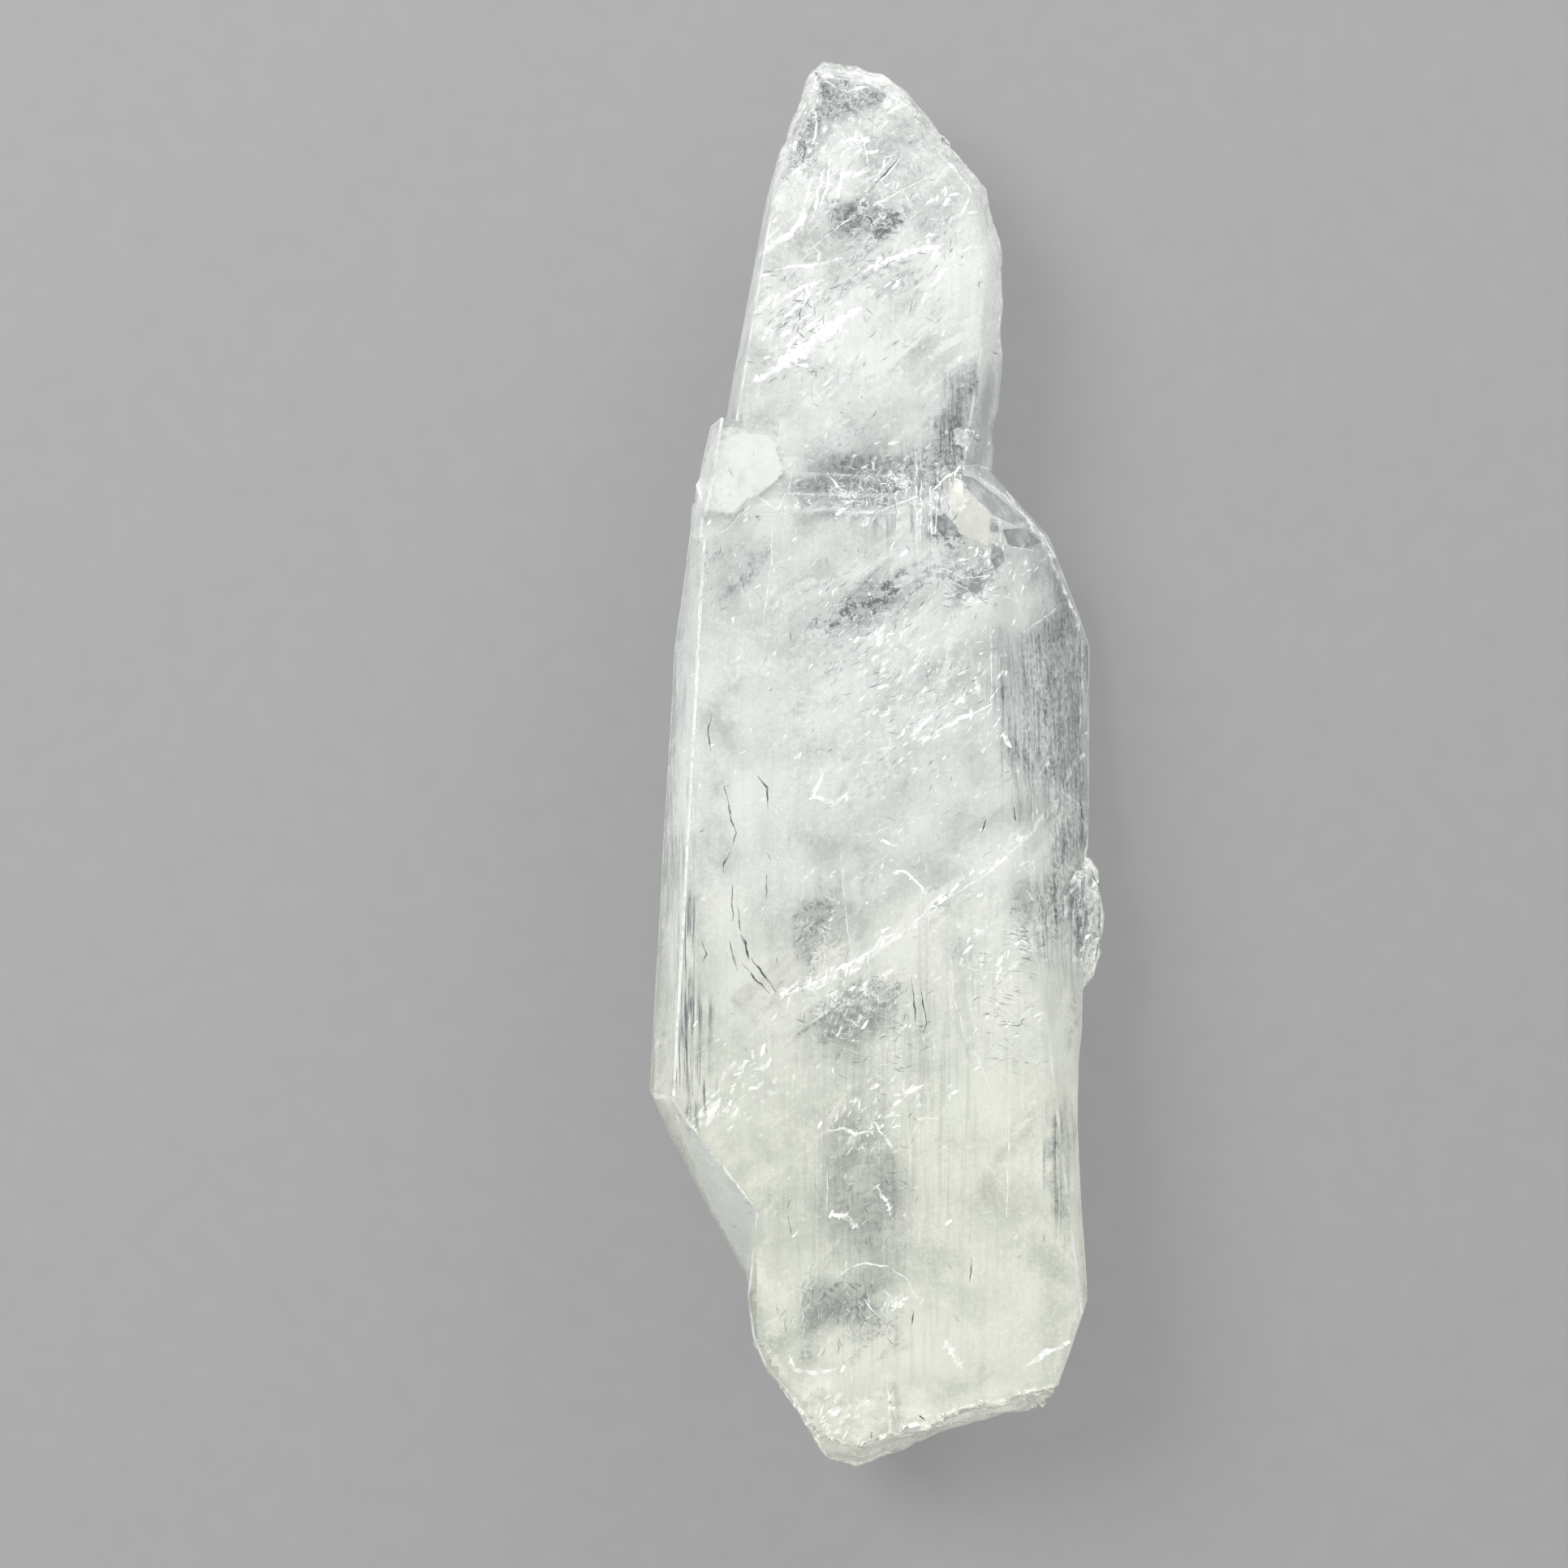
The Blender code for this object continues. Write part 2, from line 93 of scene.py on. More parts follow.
FLAT_REST = 0.02  # and has no relief up to here
FROST_DEPTH = 0.10  # the frost of the etched parts lies this far under the skin
FROST_SIDE = 0.85  # strength of the frost on upright crests
FROST_TOP = 0.25  # and on level ones
LEVEL_RANGE = (0.75, 0.95)
FROST_FEATHER = 0.5
FROSTED, ETCHED = 0.1, 0.2  # frost begins at the first etching, and the painted edge highlights end at the second

VIEW_SIDE = 1932  # pixels along a side of the camera's view
VIEW_FOCUS = 4350.0  # focal length in those pixels
SENSOR = 36.0
CLIP_START = 0.01
CAMERA_PLACE = Vector((-5.35, -1.0, 205.5))
FLOOR_GAP = 0.12  # the floor lies this far under the resting face
FLOOR_REACH = 4000.0
OUTSIDE = 40.0  # rays toward the crystal start this far from its middle

COOL_WHITE = (0.95, 0.965, 0.94)
WARM_WHITE = (0.93, 0.94, 0.83)
# painted shade: the dark veils of the shaded streaks stand for the darkness seen through the clear
# parts of the stone
SHADE = (0.175, 0.195, 0.21)
WARM_BELOW = -24.0  # the milk is warm below this place along Y
COOL_ABOVE = 4.0  # and cool above this one

# Zones of the front view: middle across and down, half sizes, turn in degrees (anticlockwise),
# and how much they add to the plain amount. Each has a full core, and ends softly.
ZONE_CORE, ZONE_END = 0.6, 1.4
RAGGEDNESS = [(0.33, 1.3), (1.1, 0.45)]  # turns of noise in a millimetre, and its size
PLAIN_MILK = 0.55
MILK_ZONES = [
    (1294, 1090, 34, 88, -6, -0.50), (986, 184, 28, 52, -20, -0.85), (1052, 273, 46, 26, 15, -0.42),
    (1050, 150, 80, 66, 25, -0.22), (990, 248, 40, 46, 30, 0.80), (1036, 222, 22, 36, 20, 0.60),
    (1100, 355, 150, 60, 15, 0.20), (990, 400, 70, 90, 35, 0.22), (1110, 490, 120, 55, 30, -0.06),
    (1198, 515, 36, 68, -16, -0.50), (1075, 592, 112, 40, 5, -0.48), (915, 590, 56, 60, 30, 0.42),
    (1003, 1708, 34, 26, 0, 0.45), (1110, 1152, 180, 20, 33, 0.15), (905, 690, 44, 48, 0, -0.22),
    (985, 745, 42, 80, -8, 0.06), (1066, 738, 46, 30, 40, -0.45), (1078, 825, 40, 24, 35, -0.25),
    (1206, 724, 22, 14, 20, -0.45), (1190, 690, 40, 34, 0, -0.25), (890, 960, 46, 200, 0, 0.22),
    (1030, 900, 60, 90, 0, 0.18), (1006, 1148, 26, 50, -8, -0.32), (1056, 1245, 54, 40, 30, -0.36),
    (1200, 1180, 70, 110, 0, 0.22), (1294, 850, 62, 170, 3, -0.95), (1256, 744, 38, 44, 20, 0.30),
    (1318, 1080, 34, 130, 0, -0.75), (1258, 1120, 28, 30, 0, -0.25), (1230, 1520, 110, 170, 0, 0.26),
    (1066, 1460, 56, 90, 0, -0.38), (1004, 1608, 26, 36, 0, -0.48), (1058, 1612, 34, 34, 0, -0.45),
    (998, 1668, 26, 20, 0, -0.45), (1316, 1404, 12, 38, 0, -0.60), (1312, 1474, 13, 32, 0, -0.55),
    (827, 1010, 22, 400, 3, -0.25), (876, 1480, 34, 130, 27, 0.90), (1080, 1712, 190, 60, -12, 0.45),
]
PLAIN_FEATHER = 0.16
FEATHER_ZONES = [
    (1080, 300, 130, 220, 0, 0.45), (985, 240, 34, 50, 30, 0.45), (985, 400, 60, 90, 35, 0.45),
    (1090, 790, 120, 150, 35, 0.45), (1110, 900, 120, 40, 32, 0.35), (1060, 1200, 130, 40, 32, 0.55),
    (1180, 1110, 90, 34, 36, 0.45), (1080, 1380, 90, 50, 10, 0.25), (1290, 1010, 60, 24, 42, 0.40),
    (1280, 1400, 60, 70, 50, 0.25), (1230, 1520, 100, 150, 0, -0.12), (890, 900, 60, 260, 0, -0.10),
]
PLAIN_STRIAE = 0.05
STRIAE_ZONES = [
    (1290, 860, 60, 190, 3, 0.42), (1318, 1090, 34, 130, 0, 0.40), (830, 1010, 20, 380, 3, 1.60),
    (1130, 610, 60, 70, 0, 0.30), (1080, 1450, 120, 200, 0, 0.12), (1190, 1260, 90, 130, 0, 0.10),
    (1310, 1440, 24, 80, 0, 0.30),
]
# The three lists below place the painted shade of the shaded streaks
SHADED_ZONES = [
    (1304, 1090, 26, 90, -6, 0.90), (1262, 1124, 28, 28, 0, 0.30), (1256, 744, 38, 44, 20, -0.45),
    (1080, 590, 110, 36, 8, 0.57), (1206, 724, 26, 14, 20, 0.50), (1190, 700, 34, 26, 0, 0.20),
    (1232, 676, 12, 34, 0, 0.60), (1250, 636, 24, 14, -40, 0.50), (1168, 660, 10, 34, 0, 0.40),
    (1068, 750, 50, 34, 42, 0.36), (1196, 520, 34, 66, -16, 0.45), (1166, 636, 16, 34, 0, 0.50),
    (983, 174, 26, 42, -18, 0.90), (1042, 118, 50, 20, 20, 0.90), (1065, 272, 46, 22, 10, 0.60),
    (1120, 200, 40, 30, -30, 0.30), (1006, 1148, 24, 50, -8, 0.22), (1053, 1245, 56, 38, 30, 0.33),
    (1066, 1460, 54, 84, 0, 0.30), (1004, 1608, 24, 36, 0, 0.28), (1062, 1610, 34, 30, 0, 0.22),
    (996, 1672, 24, 18, 0, 0.35), (1316, 1404, 10, 40, 0, 0.45), (1312, 1476, 10, 30, 0, 0.40),
    (1303, 858, 54, 160, 3, 1.00), (1345, 1140, 14, 80, 0, 0.50), (1318, 1235, 13, 46, 0, 0.80),
    (1334, 1010, 10, 36, 0, 0.70), (1320, 1070, 30, 90, 0, 0.40),
]
SHADED_FEATHER_ZONES = [
    (1294, 1096, 44, 90, -6, 0.35), (1000, 800, 50, 100, -8, 0.22), (1068, 750, 70, 60, 38, 0.75),
    (1006, 1148, 34, 60, -8, 0.40), (1060, 1240, 90, 50, 32, 0.45), (1100, 300, 90, 70, 0, 0.40),
    (1005, 140, 50, 40, 20, 0.55), (1060, 560, 120, 40, 10, 0.30), (1200, 700, 60, 60, 20, 0.35),
    (960, 380, 50, 60, 35, 0.25), (1100, 930, 120, 90, 32, 0.20), (905, 690, 44, 48, 0, 0.40),
    (1060, 1620, 60, 60, 0, 0.40), (985, 180, 26, 44, -18, 0.40),
]
SHADED_STRIAE_ZONES = [
    (1298, 860, 58, 164, 3, 1.20), (1256, 744, 38, 44, 20, -0.80), (1300, 1096, 30, 80, -8, 0.40),
    (1318, 1090, 34, 130, 0, 0.75), (830, 1010, 22, 400, 3, 1.00), (880, 1470, 24, 110, 27, 0.08),
    (1085, 1450, 120, 220, 0, 0.12), (1175, 1240, 70, 130, 8, 0.10), (1110, 610, 80, 50, 0, 0.35),
    (1190, 530, 36, 60, 0, 0.50), (1310, 1440, 20, 90, 0, 0.40),
]
WHITE_KINDS = [("milk", PLAIN_MILK, MILK_ZONES), ("feather", PLAIN_FEATHER, FEATHER_ZONES),
               ("striae", PLAIN_STRIAE, STRIAE_ZONES)]
SHADED_KINDS = [("milk", 0.0, SHADED_ZONES), ("feather", 0.04, SHADED_FEATHER_ZONES),
                ("striae", 0.06, SHADED_STRIAE_ZONES)]


# Places in the view

def view_place(point):
    """Where the camera sees a point, in view pixels across and down."""
    offset = point - CAMERA_PLACE
    scale = VIEW_FOCUS / -offset.z
    middle = VIEW_SIDE / 2.0
    return middle + offset.x * scale, middle - offset.y * scale


def seen_on_skin(tree, across, down):
    """The point of the skin that the camera sees at a view pixel, and the way into the stone."""
    middle = VIEW_SIDE / 2.0
    ray = Vector((across - middle, middle - down, -VIEW_FOCUS)).normalized()
    place, normal, _, _ = tree.ray_cast(CAMERA_PLACE, ray)
    return place, None if place is None else -normal


def mark_place(tree, across, down):
    """The place of a mark just under the skin, or nothing where the view shows no skin."""
    place, inward = seen_on_skin(tree, across, down)
    return None if place is None else place + inward * MARK_DEPTH


def turned(across, down, along, over, angle):
    """The view pixel that lies so far along and over a way that climbs at the angle."""
    return (across + along * cos(angle) - over * sin(angle),
            down - along * sin(angle) - over * cos(angle))


def smooth(value, low, high):
    """0 below low and 1 above high, with a soft passage between them."""
    share = min(max((value - low) / (high - low), 0.0), 1.0)
    return share * share * (3.0 - 2.0 * share)


def amount_at(point, plain, zones):
    """The amount of something at a point, from its plain amount and the zones of the view."""
    coarse, fine = (noise.noise_vector(point * turns) * size for turns, size in RAGGEDNESS)
    across, down = view_place(point + (coarse + fine))
    amount = plain
    for middle_across, middle_down, half_across, half_down, turn, change in zones:
        angle = radians(turn)
        right, up = across - middle_across, middle_down - down
        along = (right * cos(angle) + up * sin(angle)) / half_across
        over = (up * cos(angle) - right * sin(angle)) / half_down
        amount += change * (1.0 - smooth(hypot(along, over), ZONE_CORE, ZONE_END))
    return min(max(amount, 0.0), 1.0)


# Meshes

def link_piece(name, mesh, material):
    mesh.materials.append(material)
    piece = bpy.data.objects.new(name, mesh)
    bpy.context.scene.collection.objects.link(piece)
    return piece


def piece_from(name, points, faces, material):
    """A mesh object from points in millimetres."""
    mesh = bpy.data.meshes.new(name)
    mesh.from_pydata([Vector(point) * MM for point in points], [], faces)
    return link_piece(name, mesh, material)


def piece_of(name, bm, material):
    """A mesh object from a bmesh in millimetres, which it uses up."""
    bmesh.ops.scale(bm, vec=(MM,) * 3, verts=bm.verts[:])
    mesh = bpy.data.meshes.new(name)
    bm.to_mesh(mesh)
    bm.free()
    return link_piece(name, mesh, material)


def in_millimetres(mesh):
    """A bmesh of a mesh, in millimetres."""
    bm = bmesh.new()
    bm.from_mesh(mesh)
    bmesh.ops.scale(bm, vec=(1.0 / MM,) * 3, verts=bm.verts[:])
    return bm


def solid_crystal():
    """A bmesh of the plain solid, with each corner only once."""
    bm = in_millimetres(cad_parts["crystal"].data)
    bmesh.ops.remove_doubles(bm, verts=bm.verts[:], dist=MERGE_GAP)
    return bm


def split_long_edges(bm, longest):
    """Divide flat faces into small even triangles, and leave their outline where it is."""
    bmesh.ops.triangulate(bm, faces=bm.faces[:])
    for _ in range(DIVISIONS):
        long_edges = [edge for edge in bm.edges if edge.calc_length() > longest]
        bmesh.ops.subdivide_edges(bm, edges=long_edges, cuts=1)
        bmesh.ops.triangulate(bm, faces=bm.faces[:])


def mark_points(piece, name, values):
    """Keep one number for each point of the mesh, for the material to read."""
    attribute = piece.data.attributes.new(name, "FLOAT", "POINT")
    attribute.data.foreach_set("value", np.asarray(values, np.float32))


def belongs_to_crystal(piece):
    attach(piece, "root")


def lies_inside(piece):
    """A veil or a mark inside the stone, which takes light but casts no shadow."""
    piece.data.shade_smooth()
    piece.visible_shadow = False
    piece.visible_diffuse = False
    belongs_to_crystal(piece)


def remove_loose_points(piece):
    bm = bmesh.new()
    bm.from_mesh(piece.data)
    loose = [vert for vert in bm.verts if not vert.link_faces]
    bmesh.ops.delete(bm, geom=loose, context="VERTS")
    bm.to_mesh(piece.data)
    bm.free()


# The skin

# Etched and broken parts: the soft borders of each, and how etched it is
TIP_BORDER = (30.0, 35.0)  # along Y
FOOT_BORDER = (32.4, 35.4)  # along -Y
LUMP_BORDER = (11.2, 11.7)  # along X
LUMP_MIDDLE, LUMP_REACH = -9.0, 4.6  # along Y
LUMP_END = (0.0, 0.5)
LUMP_ETCHING = 0.8
RIM_BORDERS = (4.6, 6.0), (22.0, 25.0)  # of the tip's right rim, along X and Y
RIM_ETCHING = 0.7

# Relief, as depths: of the plain skin, and of what is added to or taken from it
PLAIN_DEPTH = 0.035
SWELLS, SWELL_TURNS = 0.03, 0.16  # the second number is turns of noise in a millimetre
STEP_HEIGHT, STEPS, HILL_TURNS = 0.03, 5.0, (0.5, 0.22, 0.5)
GRAIN, GRAIN_TURNS = 0.012, 1.3
STRIAE, STRIAE_TURNS = 0.02, (2.6, 0.08, 2.6)
SIDE_FACES = (0.6, 0.95)  # striae fade out between these normals along Z
RIPPLES, RIPPLE_TURNS = 0.03, (0.4, 1.9, 0.0)
RIPPLE_BORDER = (3.2, 5.5)  # along X
RIPPLE_MIDDLE, RIPPLE_REACH, RIPPLE_END = -11.5, 7.0, (0.0, 3.0)  # along Y
PIT_DEPTH, CRUMB_DEPTH = 0.10, 0.09
PIT_TURNS, CRUMB_TURNS = 0.9, 2.1
CREST_SHARE, CREST_RANGE = 0.6, (0.30, 0.75)


def stretched_noise(point, turns):
    """Noise at a place, with its own turns in a millimetre along each axis."""
    return noise.noise(Vector((point.x * turns[0], point.y * turns[1], point.z * turns[2])))


def etching_at(point):
    """How etched or broken the surface is at a place, from 0 to 1."""
    tip = smooth(point.y, *TIP_BORDER)
    foot = smooth(-point.y, *FOOT_BORDER)
    lump = smooth(point.x, *LUMP_BORDER)
    lump *= smooth(LUMP_REACH - abs(point.y - LUMP_MIDDLE), *LUMP_END)
    rim = smooth(point.x, *RIM_BORDERS[0]) * smooth(point.y, *RIM_BORDERS[1])
    return max(tip, foot, LUMP_ETCHING * lump, RIM_ETCHING * rim)


def pits_at(point):
    """How far a place is from the middles of the nearest pit and the nearest crumb."""
    return [noise.voronoi(point * turns)[0][0] for turns in (PIT_TURNS, CRUMB_TURNS)]


def relief_at(point, normal):
    """How far the surface lies under its flat face at a place."""
    steps = round(stretched_noise(point, HILL_TURNS) * STEPS) / STEPS
    depth = (PLAIN_DEPTH + SWELLS * noise.noise(point * SWELL_TURNS) + STEP_HEIGHT * steps
             + GRAIN * noise.noise(point * GRAIN_TURNS))
    side = 1.0 - smooth(abs(normal.z), *SIDE_FACES)
    depth += side * STRIAE * stretched_noise(point, STRIAE_TURNS)
    rippled = smooth(point.x, *RIPPLE_BORDER)
    rippled *= smooth(RIPPLE_REACH - abs(point.y - RIPPLE_MIDDLE), *RIPPLE_END)
    flat = Vector((point.x, point.y, 0.0))
    depth += rippled * RIPPLES * stretched_noise(flat, RIPPLE_TURNS)
    pit, crumb = pits_at(point)
    depth += etching_at(point) * (PIT_DEPTH * (1.0 - pit) + CRUMB_DEPTH * crumb)
    return max(depth, 0.0)


def crest_at(point):
    """How near a place is to the crests between the pits, from 0 to 1."""
    pit, crumb = pits_at(point)
    return smooth(CREST_SHARE * pit + CREST_SHARE * crumb, *CREST_RANGE)


def carve_relief(bm):
    bm.normal_update()
    moves = []
    for vert in bm.verts:
        depth = 0.0 if vert.co.z < FLAT_REST else relief_at(vert.co, vert.normal)
        moves.append(vert.normal * -depth)
    for vert, move in zip(bm.verts, moves):
        vert.co += move


def make_skin(material):
    """The whole outside of the crystal, with its fine relief."""
    bm = solid_crystal()
    split_long_edges(bm, SKIN_EDGE)
    carve_relief(bm)
    etched = [etching_at(vert.co) for vert in bm.verts]
    skin = piece_of("quartz_skin", bm, material)
    skin.data.shade_smooth()
    skin.data.set_sharp_from_angle(angle=radians(CREASE))
    mark_points(skin, "etched", etched)
    belongs_to_crystal(skin)
    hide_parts("crystal")
    return skin


def skin_tree(skin):
    """The skin in millimetres, for finding how deep a point lies under it."""
    points = [vert.co / MM for vert in skin.data.vertices]
    faces = [tuple(face.vertices) for face in skin.data.polygons]
    return BVHTree.FromPolygons(points, faces)


def depth_at(tree, point):
    """How deep a point lies under the skin, or zero outside the crystal."""
    for direction in (UP, DOWN):
        place, normal, _, _ = tree.ray_cast(point, direction)
        if place is None or normal.dot(direction) <= 0.0:
            return 0.0
    return tree.find_nearest(point)[3]


# The veils inside

def finish_veil(name, grid, kinds, strength, material):
    """A sheet from the points of a grid that lie inside, each with how strong it is there."""
    kept, points, shares = {}, [], []
    for place, (point, fade, rim) in grid.items():
        kept[place] = len(points)
        points.append(point)
        shares.append((fade, rim))
    faces = []
    for column, row in kept:
        ring = [(column, row), (column + 1, row), (column + 1, row + 1), (column, row + 1)]
        if all(corner in kept for corner in ring):
            faces.append([kept[corner] for corner in ring])
    veil = piece_from(name, points, faces, material)
    for kind, plain, zones in kinds:
        values = []
        for point, (fade, rim) in zip(points, shares):
            amount = amount_at(point, plain, zones)
            cover = LEAST_RIM + (1.0 - LEAST_RIM) * amount / max(plain, LEAST_PLAIN)
            values.append(strength * fade * max(amount, rim * min(1.0, cover)))
        mark_points(veil, kind, values)
    remove_loose_points(veil)
    lies_inside(veil)


def make_veil(name, tree, middle, along, across, size, warp, strength, material):
    """A gently curved sheet inside the crystal, cut where it comes near the skin."""
    middle, along, across = Vector(middle), Vector(along).normalized(), Vector(across).normalized()
    normal = along.cross(across)
    columns, rows = (int(side / SHEET_STEP) for side in size)
    grid = {}
    for row in range(rows + 1):
        for column in range(columns + 1):
            point = middle + along * (column / columns - 0.5) * size[0]
            point += across * (row / rows - 0.5) * size[1]
            folds = sum(share * noise.noise(point * turns) for turns, share in FOLDS)
            point += normal * warp * folds
            depth = depth_at(tree, point)
            if depth > VEIL_CLEARANCE:
                grid[(column, row)] = (point, smooth(depth, VEIL_CLEARANCE, FADE_DEPTH), 0.0)
    finish_veil(name, grid, WHITE_KINDS, strength, material)


# Hazes: name, the way into the stone, depth under the skin, kinds, strength of the white rim
# (a painted highlight), strength, finish
HAZES = [
    ("front_haze", DOWN, HAZE_DEPTH, WHITE_KINDS, 0.8, 1.0, "surface haze"),
    ("back_haze", UP, HAZE_DEPTH, WHITE_KINDS, 0.8, 0.8, "surface haze"),
    ("left_haze", RIGHT, HAZE_DEPTH, WHITE_KINDS, 0.0, 0.6, "surface haze"),
    ("right_haze", -RIGHT, HAZE_DEPTH, WHITE_KINDS, 0.0, 0.6, "surface haze"),
    ("shaded_streaks", DOWN, SHADE_DEPTH, SHADED_KINDS, 0.0, 1.0, "shaded streaks"),
]


def make_haze(name, tree, direction, under, kinds, rim_highlight, strength, material):
    """A thin haze that follows the front, the back or a side, just under the skin.

    Its rim is a painted highlight, stronger where the crystal thins toward an edge, so that the
    edges are white.
    """
    size = HIGH - LOW
    level = 0 if direction.z else 2
    columns, rows = (int(size[axis] / HAZE_STEP) for axis in (level, 1))
    grid = {}
    for row in range(rows + 1):
        for column in range(columns + 1):
            start = -direction * OUTSIDE
            start[level] = LOW[level] + size[level] * column / columns
            start.y = LOW.y + size.y * row / rows
            place, _, _, _ = tree.ray_cast(start, direction)
            if place is None:
                continue
            point = place + direction * under
            depth = depth_at(tree, point)
            if depth > HAZE_EDGE:
                thickness = tree.ray_cast(point, direction)[3]
                rim = rim_highlight * (1.0 - smooth(thickness, *THIN_EDGE))
                grid[(column, row)] = (point, smooth(depth, HAZE_EDGE, under), rim)
    finish_veil(name, grid, kinds, strength, material)


# Flat veils: their heights, size across and along, lean to either side, warp and strength
MILK_HEIGHTS = (2.6, 5.2, 7.8)
MILK_SIZE = (27.0, 81.0)
MILK_LEAN, MILK_WARP, MILK_STRENGTH = 5.0, 1.3, 0.8


def make_milk_layers(tree, material):
    """Flat-lying veils, which make the body of the crystal milky."""
    for number, height in enumerate(MILK_HEIGHTS, 1):
        tilt = radians(MILK_LEAN * (-1) ** number)
        make_veil(f"milk_layer_{number}", tree, (0.0, 0.0, height), (cos(tilt), 0.0, sin(tilt)),
                  (0.0, 1.0, 0.0), MILK_SIZE, MILK_WARP, MILK_STRENGTH, material)


# Healed fractures: middle x, y, strike in degrees from X, dip in degrees, half length, strength
FRACTURES = [
    (3.0, -6.4, 37, 72, 13.0, 2.2), (1.4, 1.8, 28, 64, 7.0, 1.5), (-3.8, 23.8, 33, 58, 6.0, 1.6),
    (-5.2, 30.1, 50, 62, 4.5, 1.6), (0.7, 31.8, 35, 55, 6.5, 1.4), (-1.1, 10.2, 38, 60, 6.5, 1.4),
    (9.0, -20.5, 56, 68, 5.0, 1.4),
]
FRACTURE_HEIGHT, FRACTURE_WARP = 14.0, 0.7


def make_fractures(tree, material):
    for number, (x, y, strike, dip, half_length, strength) in enumerate(FRACTURES, 1):
        turn, lean = radians(strike), radians(dip)
        along = Vector((cos(turn), sin(turn), 0.0))
        level = Vector((-sin(turn), cos(turn), 0.0))
        across = level * cos(lean) + Vector((0.0, 0.0, sin(lean)))
        make_veil(f"healed_fracture_{number}", tree, (x, y, MIDDLE_HEIGHT), along, across,
                  (2.0 * half_length, FRACTURE_HEIGHT), FRACTURE_WARP, strength, material)


# Growth sheets that run along the crystal: x, y, turn from Y, half length, lean
GROWTH_SHEETS = [
    (-6.8, 1.0, 2, 13.0, 20), (-1.8, -22.0, 3, 12.0, -15), (4.2, -14.0, 6, 12.0, -30),
    (6.6, -20.0, -2, 13.0, 15),
]
GROWTH_HEIGHT, GROWTH_WARP, GROWTH_STRENGTH = 11.0, 0.5, 0.9


def make_growth_sheets(tree, material):
    for number, (x, y, turn, half_length, lean) in enumerate(GROWTH_SHEETS, 1):
        angle, slope = radians(turn), radians(lean)
        along = Vector((sin(angle), cos(angle), 0.0))
        across = Vector((cos(angle) * sin(slope), -sin(angle) * sin(slope), cos(slope)))
        make_veil(f"growth_sheet_{number}", tree, (x, y, MIDDLE_HEIGHT), along, across,
                  (2.0 * half_length, GROWTH_HEIGHT), GROWTH_WARP, GROWTH_STRENGTH, material)


# Cracks, patches and flecks, set just under the skin

